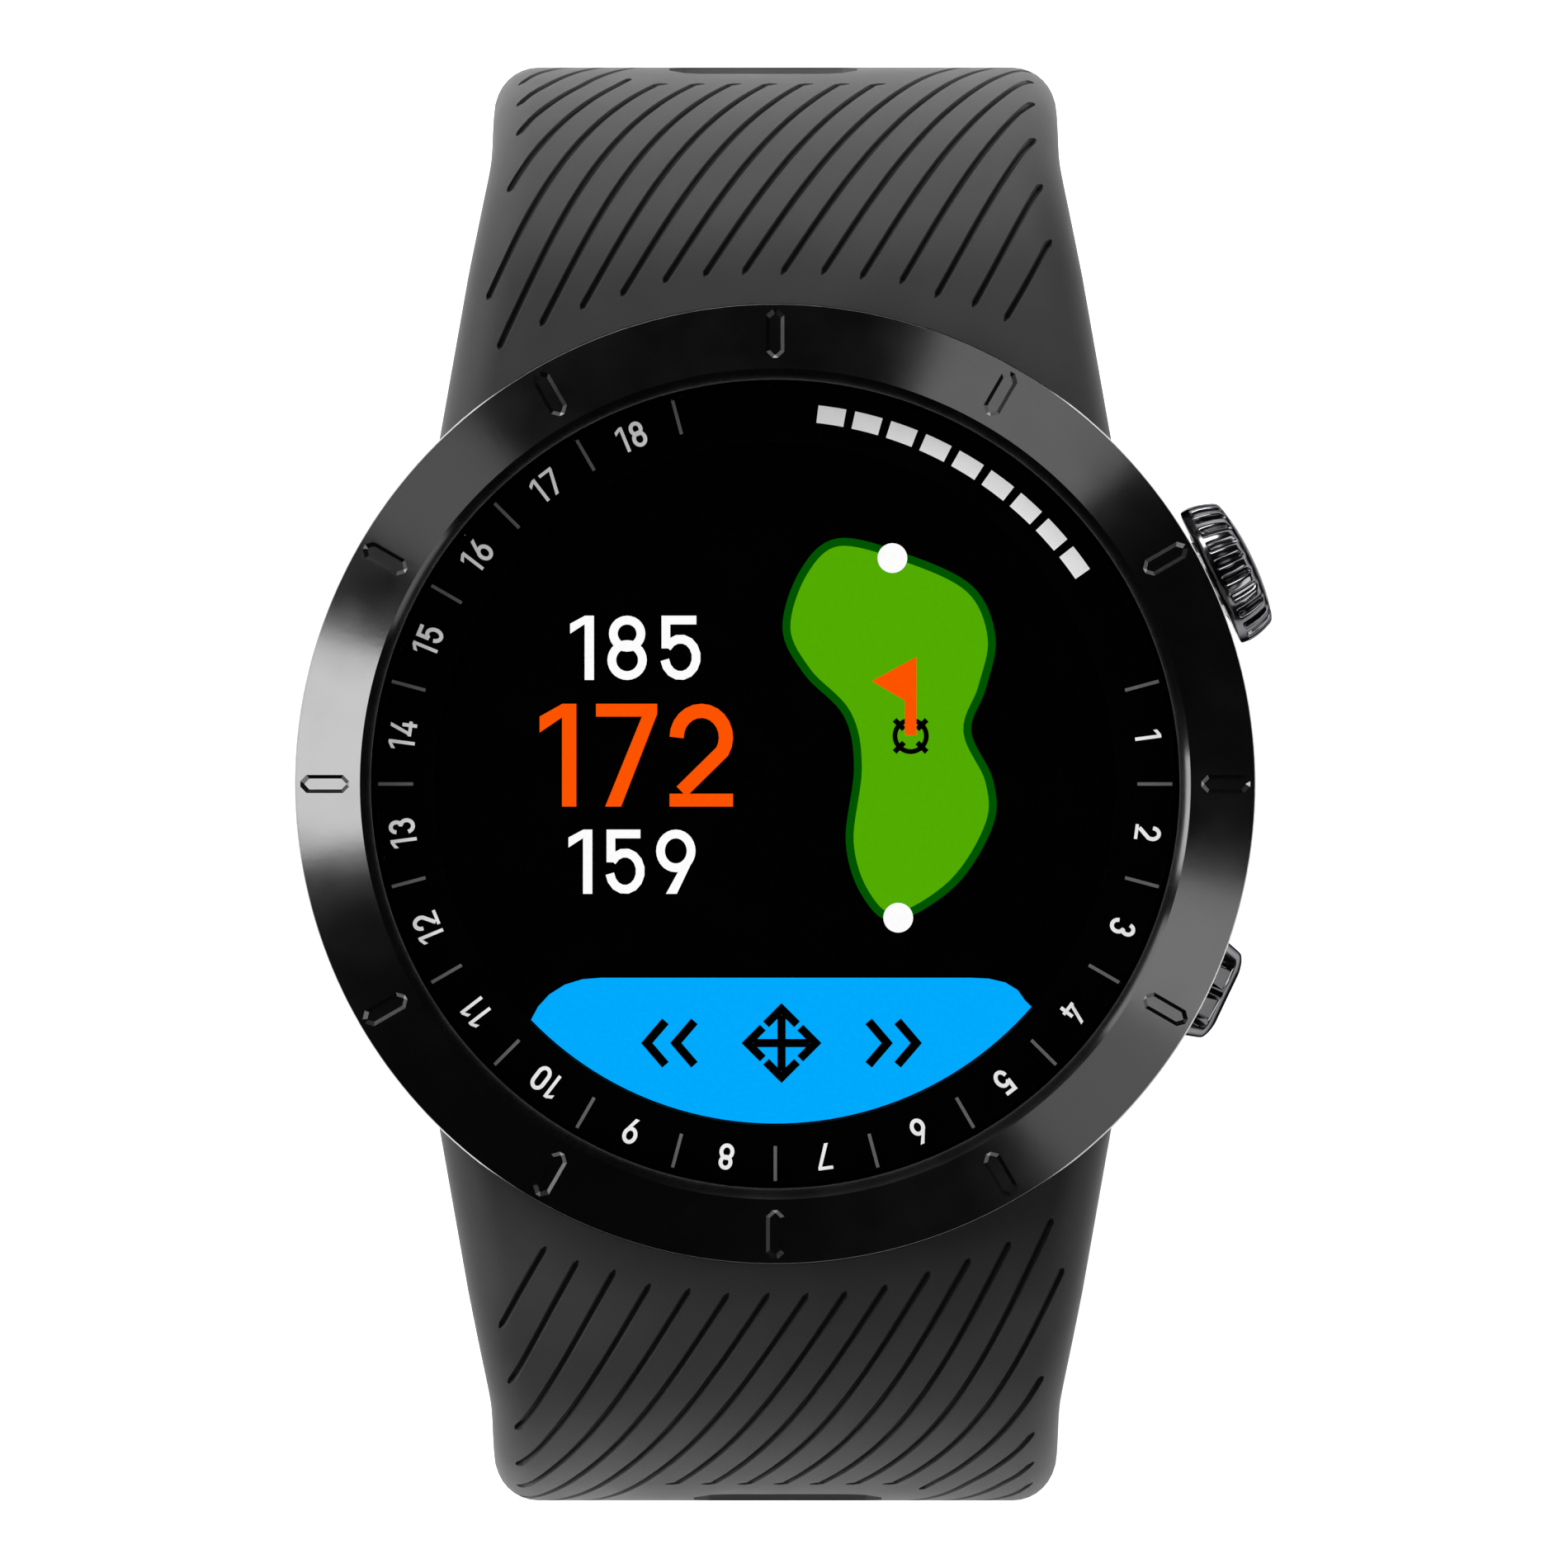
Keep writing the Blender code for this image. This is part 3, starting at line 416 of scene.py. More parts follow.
def x_bar(name, radius, reach, centre=(0.0, 0.0), place=None):
    """A round bar along X, reaching as far each way, about a centre in Y and Z."""
    y, z = centre
    section = circle(radius, 0.0, 24, 0.5)
    rings = [[(x, y + a, z + b) for a, b, _ in section] for x in (-reach, reach)]
    return solid(name, rings, place=place)


def basis(side, up, out, origin=(0.0, 0.0, 0.0)):
    turn = Matrix((side, up, out)).transposed().to_4x4()
    return Matrix.Translation(Vector(origin)) @ turn


def control_frame(angle):
    """Z runs out along a control's axis, and Y is the watch's up."""
    out = Vector((math.cos(math.radians(angle)), math.sin(math.radians(angle)), 0.0))
    up = Vector((0.0, 0.0, 1.0))
    return basis(up.cross(out), up, out, (0.0, 0.0, CONTROL_HEIGHT))


# ---- case and bezel


def build_bezel():
    profile = [
        (19.9, 9.35), (22.75, 9.35), (BEZEL_RADIUS, 9.8), (BEZEL_RADIUS, 11.8, 0.03),
        (*BEZEL_RIM, 0.03), (*BEZEL_CREST, 0.0), (*BEZEL_LIP, 0.03), (19.9, 12.3),
    ]
    bezel = turned("bezel_fine", softened(profile, 0.1), CERAMIC, 240, closed=True)
    slope = Vector((BEZEL_RIM[0] - BEZEL_CREST[0], BEZEL_RIM[1] - BEZEL_CREST[1]))
    middle = Vector(BEZEL_CREST) + slope * 0.547
    tilt = slope.normalized()
    bm = bmesh.new()
    for index in range(12):
        angle = math.radians(30.0 * index)
        out = Vector((math.cos(angle), math.sin(angle), 0.0))
        along = out * tilt.x + Vector((0.0, 0.0, tilt.y))
        across = Vector((-out.y, out.x, 0.0))
        centre = out * middle.x + Vector((0.0, 0.0, middle.y))
        place = basis(along, across, along.cross(across), centre)
        levels = ((0.0, -0.12), (0.18, 0.0), (0.24, 0.04))
        add_rings(bm, [mark_outline(grow, height) for grow, height in levels], place=place)
    cut(bezel, new_object("mark_cutters", bm))
    finished(bezel, "watch_case", "bezel_ceramic", "bezel", sharp=20.0)


def mark_outline(grow, height):
    """A long hexagon with eased corners, pointing along X."""
    long = 1.05 + grow
    wide = 0.26 + grow
    corner = 0.24 + 0.4 * grow
    quarter = [(long, wide - corner), (long - corner, wide)]
    half = quarter + [(-x, y) for x, y in reversed(quarter)]
    return [(x, y, height) for x, y in half + [(-x, -y) for x, y in half]]


def build_case():
    profile = [
        (17.2, 2.0), (20.7, 2.0), (21.7, 3.0), (22.3, 4.6), (22.3, 9.2, 0.15), (19.5, 9.2),
        (19.5, 8.3), (17.2, 8.3),
    ]
    case = turned("case_fine", softened(profile, 0.12), CASE_METAL, 192, closed=True)
    cut(case, strap_bay(1), strap_bay(-1))
    joined(case, *[lug(side, hand) for side in (1, -1) for hand in (1, -1)])
    cutters = [x_bar("pin_holes", 0.6, 12.7, (side * BAR_Y, BAR_Z)) for side in (1, -1)]
    cutters.append(rod("crown_bore", 2.1, 15.0, 26.0, 48, control_frame(CROWN_ANGLE)))
    button = control_frame(BUTTON_ANGLE)
    cutters.append(rod("button_bore", 1.0, 15.0, 22.0, 32, button))
    pocket = [pill(2.8, 1.55, height) for height in (21.0, 25.0)]
    cutters.append(solid("button_pocket", pocket, place=button))
    for x, y in screw_places():
        place = Matrix.Translation((x, y, 0.0))
        cutters.append(rod("screw_thread", 0.7, 0.0, 5.2, 24, place))
    cut(case, *cutters)
    finished(case, "watch_case", "case_metal", "case_middle")


def screw_places():
    return arc((0.0, 0.0), (18.6, 18.6), 45.0, 315.0, 3)


def strap_bay(side):
    """What the strap's end needs out of the case."""
    half = 17.0
    wall = 21.3
    reach = math.asin(half / wall)
    outline = []
    for i in range(64):
        angle = reach * (1.0 - 2.0 * i / 63)
        outline.append((wall * math.sin(angle), side * wall * math.cos(angle)))
    outline += [(-half, side * 30.0), (half, side * 30.0)]
    return prism("strap_bay", outline, -1.0, 9.7)


def lug(side, hand):
    profile = [(15.0, BAR_Z + LUG_RADIUS), (15.0, BAR_Z - LUG_RADIUS)]
    profile += arc((BAR_Y, BAR_Z), (LUG_RADIUS, LUG_RADIUS), -90.0, 90.0, 16)
    place = basis(Vector((0, 1, 0)), Vector((0, 0, 1)), Vector((1, 0, 0)))
    if side < 0:
        place = Matrix.Rotation(math.pi, 4, "Z") @ place
    low, high = (LUG_INNER, LUG_OUTER) if hand * side > 0 else (-LUG_OUTER, -LUG_INNER)
    return prism("lug", profile, low, high, place=place, edge=0.25)


def build_case_back():
    profile = [
        (0.0, 0.0), (15.2, 0.0, 0.2), (16.6, 0.8, 0.3), (20.0, 0.8), (20.4, 1.2), (20.4, 1.9),
        (16.55, 1.9), (16.55, 2.7), (15.5, 2.7), (15.5, 1.6), (0.0, 1.6),
    ]
    back = turned("case_back_fine", softened(profile, 0.1, closed=False), BACK_STEEL, 192)
    cutters = []
    for x, y in screw_places():
        bore = [(0.0, -0.5), (1.3, -0.5), (1.3, 0.75), (1.2, 0.85), (1.2, 1.35), (0.75, 1.35),
                (0.75, 3.0), (0.0, 3.0)]
        place = Matrix.Translation((x, y, 0.0)) @ OFF_EDGE
        cutters.append(turned("screw_hole", bore, count=32, place=place))
    for index in range(4):
        place = Matrix.Translation((2.6 * (index - 1.5), -7.0, 0.0)) @ OFF_EDGE
        bore = [(0.0, -1.0), (1.3, -1.0), (0.9, 0.12), (0.9, 2.5), (0.0, 2.5)]
        cutters.append(turned("contact_hole", bore, count=32, place=place))
    for radius in (13.6, 9.2):
        ring = [(radius, -0.1, 0.0), (radius + 0.25, -0.1, 0.0), (radius + 0.18, 0.09),
                (radius + 0.07, 0.09)]
        cutters.append(turned("back_ring", softened(ring, 0.02), count=192, closed=True,
                              place=OFF_EDGE))
    cut(back, *cutters)
    finished(back, "watch_case", "case_back_steel", "case_back")


# ---- crystal, dial ring and display


def build_crystal():
    profile = [(0.0, 10.4), (19.4, 10.4, 0.03), (19.4, 12.3, 0.06), (19.15, 12.55, 0.08),
               (0.0, 12.55)]
    crystal = turned("crystal_fine", softened(profile, 0.05, closed=False), CRYSTAL, 192)
    finished(crystal, "watch_case", "crystal_glass", "crystal")


def build_dial_ring():
    profile = [(16.45, 9.75), (17.1, 9.75), (17.1, 9.25), (19.3, 9.25), (19.3, 10.3),
               (16.45, 10.3, 0.05)]
    ring = turned("dial_ring_fine", softened(profile, 0.03), DIAL_BLACK, 192, closed=True)
    finished(ring, "watch_case", "inner_plastic", "dial_ring")


def stroke(bm, points, width, low, high, place=None, closed=False):
    """A flat ribbon of a width along a line of (x, y) points, from low to high along Z."""
    count = len(points)
    rings = []
    for i, point in enumerate(points):
        here = Vector(point)
        before = here - Vector(points[i - 1]) if closed or i else Vector(points[1]) - here
        after = Vector(points[(i + 1) % count]) - here if closed or i < count - 1 else before
        before.normalize()
        after.normalize()
        middle = (before + after).normalized()
        normal = Vector((-middle.y, middle.x))
        share = max(0.45, normal.dot(Vector((-after.y, after.x))))
        left = here + normal * (0.5 * width / share)
        right = here - normal * (0.5 * width / share)
        rings.append([(*left, low), (*right, low), (*right, high), (*left, high)])
    add_rings(bm, rings, closed, place)


# Numerals in a unit box. A line is a stroke's middle, and a plate is an outline of its own.
DIGITS = {
    "0": [("loop", arc((0.5, 0.7), (0.5, 0.3), 0, 180) + arc((0.5, 0.3), (0.5, 0.3), 180, 360))],
    "1": [("plate", [(0.0, 0.72), (0.61, 0.868), (0.61, 0.0), (1.0, 0.0), (1.0, 1.0), (0.62, 1.0),
                     (0.0, 0.876)])],
    "2": [("line", arc((0.5, 0.7), (0.5, 0.3), 180, -32) + [(0.1, 0.09)]),
          ("plate", [(0.0, 0.0), (1.0, 0.0), (1.0, 0.125), (0.0, 0.125)])],
    "3": [("line", arc((0.47, 0.75), (0.45, 0.25), 175, -80)),
          ("line", arc((0.47, 0.285), (0.53, 0.285), 85, -172))],
    "4": [("plate", [(0.0, 0.2), (0.56, 1.0), (0.8, 1.0), (0.28, 0.27), (0.0, 0.27)]),
          ("plate", [(0.0, 0.18), (1.0, 0.18), (1.0, 0.31), (0.0, 0.31)]),
          ("plate", [(0.62, 0.0), (0.86, 0.0), (0.86, 0.56), (0.62, 0.56)])],
    "5": [("line", [(1.0, 1.0), (0.04, 1.0), (0.04, 0.49)]),
          ("line", arc((0.5, 0.33), (0.5, 0.33), 148, -172))],
    "6": [("loop", loop((0.5, 0.305), (0.5, 0.305))),
          ("plate", [(0.75, 1.0), (0.475, 1.0), (0.03, 0.43), (0.3, 0.5)])],
    "7": [("plate", [(0.0, 1.0), (0.0, 0.875), (0.75, 0.875), (0.15, 0.0), (0.41, 0.0), (1.0, 0.9),
                     (1.0, 1.0)])],
    "8": [("loop", loop((0.5, 0.755), (0.45, 0.245))), ("loop", loop((0.5, 0.28), (0.5, 0.28)))],
    "9": [("loop", loop((0.5, 0.695), (0.5, 0.305))),
          ("plate", [(0.25, 0.0), (0.525, 0.0), (0.97, 0.57), (0.7, 0.5)])],
}


def digit(bm, char, box, width, low, high, place=None):
    """A plain numeral that fills a box of (left, right, bottom, top)."""
    left, right, bottom, top = box
    for layer, (kind, points) in enumerate(DIGITS[char]):
        inset = 0.0 if kind == "plate" else 0.5 * width
        wide = right - left - 2.0 * inset
        tall = top - bottom - 2.0 * inset
        line = [(left + inset + x * wide, bottom + inset + y * tall) for x, y in points]
        top_face = high + 0.002 * layer
        if kind == "plate":
            add_rings(bm, [[(x, y, z) for x, y in line] for z in (low, top_face)], place=place)
        else:
            stroke(bm, line, width, low, top_face, place, kind == "loop")


def dial_place(angle, radius):
    """Frame on the dial ring, clockwise from 12 o'clock, with Y outwards."""
    turn = math.radians(angle)
    out = Vector((math.sin(turn), math.cos(turn), 0.0))
    side = Vector((math.cos(turn), -math.sin(turn), 0.0))
    return basis(side, out, side.cross(out), out * radius)


def on_dial(name, bm, look):
    finished(new_object(name, bm, look), "watch_case", "inner_plastic")


def on_screen(name, bm, look):
    finished(new_object(name, bm, look), "watch_case", "display_glass")


def build_dial_marks():
    bm = bmesh.new()
    for index in range(19):
        place = dial_place(75.0 + 15.0 * index, 18.3)
        stroke(bm, [(0.0, -0.84), (0.0, 0.84)], 0.16, PRINT_LOW, PRINT_HIGH, place)
    on_dial("dial_ticks", bm, PRINT_GREY_PAINTED_GLOW)

    bm = bmesh.new()
    half_tall = 0.635
    gap = 0.24
    for number in range(1, 19):
        place = dial_place(82.5 + 15.0 * (number - 1), 18.12)
        text = str(number)
        widths = [0.42 if char == "1" else 0.72 for char in text]
        left = -0.5 * (sum(widths) + gap * (len(text) - 1))
        for char, width in zip(text, widths):
            box = (left, left + width, -half_tall, half_tall)
            digit(bm, char, box, 0.19, PRINT_LOW, PRINT_HIGH, place)
            left += width + gap
    on_dial("dial_numbers", bm, PRINT_WHITE_PAINTED_GLOW)

    # Nine plain segments, clockwise from 12 o'clock.
    bm = bmesh.new()
    start, end = 6.5, 57.0
    step = (end - start) / 9
    for index in range(9):
        shares = (0.0, 0.2, 0.4, 0.6, 0.76)
        turns = [math.radians(start + step * (index + share)) for share in shares]
        line = [(17.95 * math.sin(turn), 17.95 * math.cos(turn)) for turn in turns]
        stroke(bm, line, 0.85, PRINT_LOW, PRINT_HIGH)
    on_dial("dial_segments", bm, PRINT_WHITE_PAINTED_GLOW)


def smooth_loop(points):
    """A closed Catmull-Rom curve."""
    result = []
    steps = 8
    count = len(points)
    for i in range(count):
        a, b, c, d = (Vector(points[(i + k - 1) % count]) for k in range(4))
        for step in range(steps):
            t = step / steps
            spot = 0.5 * (2 * b + (c - a) * t + (2 * a - 5 * b + 4 * c - d) * t * t
                          + (3 * b - a - 3 * c + d) * t ** 3)
            result.append(tuple(spot))
    return result


def layer(number):
    """The height of a layer of the display's picture."""
    return SCREEN_BASE + number * SCREEN_LAYER


def plate(name, outlines, low, high, look):
    """Flat plates on the display, between two layers."""
    bm = bmesh.new()
    for outline in outlines:
        add_rings(bm, [[(x, y, layer(n)) for x, y in outline] for n in (low, high)])
    on_screen(name, bm, look)


GREEN_OUTLINE = [
    (3.0, 11.85), (6.3, 11.1), (9.5, 9.55), (10.62, 7.1), (10.15, 4.6), (9.45, 2.55), (10.5, 0.2),
    (10.5, -2.0), (8.7, -4.9), (5.8, -6.6), (4.2, -5.4), (3.4, -2.8), (3.8, 0.8), (3.3, 3.3),
    (1.4, 5.3), (0.35, 7.5), (1.2, 10.3),
]


# Each number as (digit, left, right), with its bottom, top and stroke.
WHITE_NUMBERS = (
    ((("1", -9.9, -8.75), ("8", -8.1, -6.2), ("5", -5.55, -3.6)), 5.02, 8.12, 0.42),
    ((("1", -9.98, -8.83), ("5", -8.2, -6.3), ("9", -5.75, -3.85)), -5.3, -2.2, 0.42),
)
ORANGE_NUMBER = (
    ((("1", -11.37, -9.6), ("7", -8.65, -5.7), ("2", -5.1, -2.04)), -1.09, 3.87, 0.68),
)


def build_screen():
    for name, numbers, look in (("screen_white_numbers", WHITE_NUMBERS, SCREEN_WHITE),
                                ("screen_orange_number", ORANGE_NUMBER, SCREEN_ORANGE)):
        bm = bmesh.new()
        for digits, bottom, top, width in numbers:
            for char, left, right in digits:
                digit(bm, char, (left, right, bottom, top), width, layer(0), layer(1))
        on_screen(name, bm, look)

    green = smooth_loop(GREEN_OUTLINE)[::-1]
    plate("screen_green_edge", [green], 0, 1, SCREEN_DARK_GREEN)
    plate("screen_green", [inset_outline(green, 0.38)], 1, 2, SCREEN_GREEN)
    dots = [loop(centre, (0.72, 0.72)) for centre in ((5.65, 10.9), (5.93, -6.45))]
    plate("screen_dots", dots, 3, 4, SCREEN_WHITE)
    bm = bmesh.new()
    target = (6.53, 2.32)
    stroke(bm, loop(target, (0.76, 0.76)), 0.24, layer(2), layer(3), closed=True)
    for angle in (45.0, 135.0, 225.0, 315.0):
        ends = [arc(target, (reach, reach), angle, angle, 1)[0] for reach in (0.45, 1.1)]
        stroke(bm, ends, 0.26, layer(2), layer(3.1))
    on_screen("screen_target", bm, SCREEN_BLACK)
    flag = [(6.25, 2.36), (6.81, 2.36), (6.81, 6.13), (4.66, 4.97), (6.25, 4.02)]
    plate("screen_flag", [flag], 4, 5, SCREEN_ORANGE)

    edge = 16.38
    outline = arc((0.0, 0.0), (edge, edge), -136.0, -41.0, 48)
    outline += [(12.05, -10.45), (11.7, -9.95), (11.1, -9.58), (10.3, -9.39), (9.4, -9.35),
                (-8.4, -9.35), (-9.3, -9.42), (-10.15, -9.68), (-10.9, -10.15), (-11.45, -10.75)]
    plate("screen_button", [outline], 0, 1, SCREEN_BLUE)
    build_button_icon(layer(1), layer(2))


def build_button_icon(low, high):
    """A four-way arrow between two pairs of chevrons."""
    bm = bmesh.new()
    middle = Vector((0.3, -12.5))
    size = 1.65
    for index in range(4):
        angle = math.radians(90.0 * index)
        way = Vector((math.cos(angle), math.sin(angle)))
        side = Vector((-way.y, way.x))
        tip = middle + way * size
        lift = 0.002 * (index % 2)
        back = tip - way * 0.75
        stroke(bm, [middle - way * 0.2, tip - way * 0.3], 0.4, low, high + lift)
        stroke(bm, [back + side * 0.75, tip, back - side * 0.75], 0.4, low, high + 0.004)
    for hand in (-1, 1):
        for reach in (5.1, 6.5):
            tip = middle + Vector((hand * reach, 0.0))
            back = Vector((-hand * 0.9, 1.05))
            stroke(bm, [tip + back, tip, tip + Vector((back.x, -back.y))], 0.42, low, high)
    on_screen("screen_icon", bm, SCREEN_BLACK)


# ---- crown and button


def build_crown():
    place = control_frame(CROWN_ANGLE)

    def fluted(radius, share):
        def at(angle):
            groove = 0.5 - 0.5 * math.cos(CROWN_FLUTES * angle)
            return radius - 0.26 * share * min(1.0, 1.25 * groove ** 3.0)
        return at

    # The hollow inside and the smooth inner rim, the fluted side, then the domed face.
    profile = [(0.0, 25.2), (0.95, 25.2), (0.95, 24.3), (2.3, 24.3), (2.3, 23.3), (3.35, 23.3),
               (3.46, 23.33), (3.51, 23.4), (3.54, 23.68), (3.54, 23.72)]
    side = ((3.54, 23.74, 0.0), (3.54, 23.78, 0.6), (3.54, 23.84, 1.0), (3.49, 24.2, 1.0),
            (3.38, 24.6, 1.0), (3.24, 24.95, 1.0), (3.18, 25.06, 0.9), (3.1, 25.15, 0.6),
            (3.0, 25.21, 0.25), (2.88, 25.26, 0.0))
    profile += [(fluted(radius, share), height) for radius, height, share in side]
    profile += [(2.6, 25.34), (2.2, 25.43), (1.7, 25.51), (1.2, 25.57), (0.7, 25.6), (0.0, 25.62)]
    crown = turned("crown_fine", profile, CROWN_METAL, CROWN_FLUTES * 16, place=place)
    finished(crown, "crown_wheel", "crown_metal", "crown", sharp=38.0)


def build_button():
    place = control_frame(BUTTON_ANGLE)
    levels = [(0.3, 21.62), (0.06, 21.68), (0.0, 21.8), (0.0, 22.6), (0.1, 22.68), (0.1, 22.82),
              (0.0, 22.9), (0.26, 23.8), (0.32, 23.92), (0.44, 24.02), (0.65, 24.12), (0.95, 24.2),
              (1.2, 24.24)]
    rings = [pill(2.56 - inset, 1.35 - inset, height) for inset, height in levels]
    button = solid("button_fine", rings, BUTTON_METAL, place=place)
    stem = [circle(0.75, height, 26) for height in (19.6, 21.62)]
    joined(button, solid("button_stem", stem, place=place))
    grooves = []
    for x in (-1.65, 0.0, 1.65):
        for y in (-1.4, 1.4):
            section = circle(0.42, 0.0, 32)
            scallop = [[(x + a, y + b, height) for a, b, _ in section] for height in (22.95, 23.95)]
            grooves.append(solid("button_groove", scallop, place=place))
    cut(button, *grooves)
    finished(button, "side_button", "button_metal", "button_key", sharp=40.0)


# ---- strap


def ease(value):
    value = min(max(value, 0.0), 1.0)
    return value * value * (3.0 - 2.0 * value)


def bezier(points, t):
    a, b, c, d = (Vector(p) for p in points)
    u = 1.0 - t
    return a * u ** 3 + b * 3.0 * u * u * t + c * 3.0 * u * t * t + d * t ** 3


# The strap's two faces from the spring bar to the horizon, as (Y, Z).
OUTER_CURVE = [(BAR_Y, STRAP_TOP), (30.3, STRAP_TOP), (HORIZON_Y, 1.0), (HORIZON_Y, HORIZON_Z)]
INNER_CURVE = [(BAR_Y, STRAP_UNDERSIDE), (28.5, STRAP_UNDERSIDE), (HORIZON_Y - THICK_HORIZON, -3.5),
               (HORIZON_Y - THICK_HORIZON, HORIZON_Z)]


def flared_half_width(y):
    """The strap widens in a straight flare from the horizon towards the bezel."""
    rise = FLARE_START_Y - y
    return HALF_WIDTH_HORIZON + FLARE_SLOPE * 0.5 * (rise + math.hypot(rise, 0.8))


def arc_centre(arc_radius):
    return Vector((HORIZON_Y - arc_radius, HORIZON_Z))


def strap_stations(arc_radius, arc_angle, steps, end_half_width, end_thickness):
    """Sections along the +Y half: outer point, inner point (Y, Z) and half width."""
    stations = []
    start = 15.0
    for i in range(13):
        y = start + (BAR_Y - start) * i / 12
        high, low = Vector((y, STRAP_TOP)), Vector((y, STRAP_UNDERSIDE))
        stations.append((high, low, flared_half_width(y)))
    for i in range(1, 37):
        high = bezier(OUTER_CURVE, i / 36)
        stations.append((high, bezier(INNER_CURVE, i / 36), flared_half_width(high.x)))
    centre = arc_centre(arc_radius)
    length = math.radians(arc_angle) * arc_radius
    for i in range(1, steps + 1):
        along = length * i / steps
        out = Vector((math.cos(along / arc_radius), -math.sin(along / arc_radius)))
        taper = ease(along / TAPER_LENGTH)
        near_end = ease((along - (length - 6.0)) / 4.0)
        thick = THICK_HORIZON + (THICK_FREE - THICK_HORIZON) * taper
        thick += (end_thickness - THICK_FREE) * near_end
        half = HALF_WIDTH_HORIZON + (HALF_WIDTH_FREE - HALF_WIDTH_HORIZON) * taper
        half += (end_half_width - HALF_WIDTH_FREE) * near_end
        high = arc_radius + 0.5 * (end_thickness - THICK_FREE) * near_end
        stations.append((centre + out * high, centre + out * (high - thick), half))
    return stations


def tail_stations(length):
    """The round end of the tail, with eased rims."""
    centre = arc_centre(LOWER_ARC_RADIUS)
    stations = []
    for i in range(15):
        share = math.sin(math.radians(90.0) * i / 14) * 0.985
        angle = -(length - TAIL_ROUND_LENGTH + TAIL_ROUND_LENGTH * share) / LOWER_ARC_RADIUS
        out = Vector((math.cos(angle), math.sin(angle)))
        half = HALF_WIDTH_FREE * math.sqrt(1.0 - share * share)
        thin = 0.35 * ease((share - 0.8) / 0.2)
        stations.append((centre + out * (LOWER_ARC_RADIUS - thin),
                         centre + out * (LOWER_ARC_RADIUS - THICK_FREE + thin), half))
    return stations


def strap_section(outer, inner, half, side):
    """A flat section with round shoulders on the outside and small rounds on the inside."""
    thick = (outer - inner).length
    shoulder = min(SHOULDER_RADIUS, 0.62 * thick, 0.9 * half)
    heel = min(0.8, 0.25 * thick, 0.5 * half)
    right = [((half - heel) * i / 5, 0.0) for i in range(1, 6)]
    right += arc((half - heel, heel), (heel, heel), -90.0, 0.0, 4)[1:]
    right.append((half, 0.5 * (heel + thick - shoulder)))
    right += arc((half - shoulder, thick - shoulder), (shoulder, shoulder), 0.0, 90.0, 8)
    flat = 9
    right += [((half - shoulder) * (1.0 - i / flat), thick) for i in range(1, flat)]
    left = [(-across, up) for across, up in reversed(right)]
    profile = [(0.0, 0.0)] + right + [(0.0, thick)] + left
    way = (outer - inner).normalized()
    points = []
    for across, up in profile:
        spot = inner + way * up
        points.append((side * across, side * spot.x, spot.y))
    return points


def lug_pocket(side, hand):
    """Room in the strap for a lug to turn in."""
    room = LUG_RADIUS + 0.45
    gap = 0.35
    profile = [(12.0, 7.6), (12.0, -4.0), (BAR_Y, -4.0)]
    profile += arc((BAR_Y, BAR_Z), (room, room), -90.0, 90.0, 12) + [(17.0, 7.5)]
    ends = (LUG_INNER - gap, LUG_OUTER + gap)
    rings = [[(hand * x, side * y, z) for y, z in profile] for x in ends]
    return solid("lug_pocket", rings)


class OuterPath:
    """The strap's outer face along its length: s is 0 at the spring bar, and grows downwards."""

    def __init__(self, arc_radius):
        self.arc_radius = arc_radius
        steps = 200
        self.spots = [bezier(OUTER_CURVE, i / steps) for i in range(steps + 1)]
        self.reaches = [0.0]
        for a, b in zip(self.spots, self.spots[1:]):
            self.reaches.append(self.reaches[-1] + (b - a).length)
        self.curve_length = self.reaches[-1]

    def at(self, s):
        """(Y, Z), the outward normal and the half width."""
        if s <= 0.0:
            y = BAR_Y + s
            return Vector((y, STRAP_TOP)), Vector((0.0, 1.0)), flared_half_width(y)
        if s >= self.curve_length:
            along = s - self.curve_length
            angle = along / self.arc_radius
            out = Vector((math.cos(angle), -math.sin(angle)))
            narrowing = (HALF_WIDTH_FREE - HALF_WIDTH_HORIZON) * ease(along / TAPER_LENGTH)
            spot = arc_centre(self.arc_radius) + out * self.arc_radius
            return spot, out, HALF_WIDTH_HORIZON + narrowing
        index = bisect.bisect_left(self.reaches, s) - 1
        low, high = self.reaches[index:index + 2]
        first, second = self.spots[index:index + 2]
        way = (second - first).normalized()
        spot = first + (second - first) * ((s - low) / (high - low))
        return spot, Vector((-way.y, way.x)), flared_half_width(spot.x)

    def spot(self, x, s):
        """The point on the face at a distance x across, and the face's normal there."""
        yz, normal, half = self.at(s)
        drop = 0.0
        over = abs(x) - (half - SHOULDER_RADIUS)
        if over > 0.0:
            over = min(over, 0.999 * SHOULDER_RADIUS)
            drop = SHOULDER_RADIUS - math.sqrt(SHOULDER_RADIUS ** 2 - over ** 2)
        yz = yz - normal * drop
        return Vector((x, yz.x, yz.y)), Vector((0.0, normal.x, normal.y))


# The grooves are one family of curves across the strap: x = start + slope * s + bend * s * s.
# Each of the three is a short power series in the groove's number, which is 0 near the middle.
GROOVE_START = (-3.46, 1.768, 0.0368, 0.00116, -0.00032)
GROOVE_SLOPE = (0.669, 0.0173, -0.0076, -0.00026, 0.00009)
GROOVE_BEND = (-0.0068, -0.0012, 0.00037, 0.00001, -0.0000056)
GROOVE_STRAIGHT_S = 14.2
GROOVE_FAR_SLOPE = 0.45
GROOVES = range(-10, 9)
GROOVE_NEAR = 24.55
GROOVE_MARGIN = 1.15
GROOVE_FAR = 23.5
GROOVE_HOOK_S = 14.45
GROOVE_HOOKS = range(-6, 1)
GROOVE_BESIDE_RECESS = -7
GROOVE_BESIDE_FAR = 15.8
GROOVE_LAST_FITTED = -7
GROOVE_EVEN_STEP = 1.72


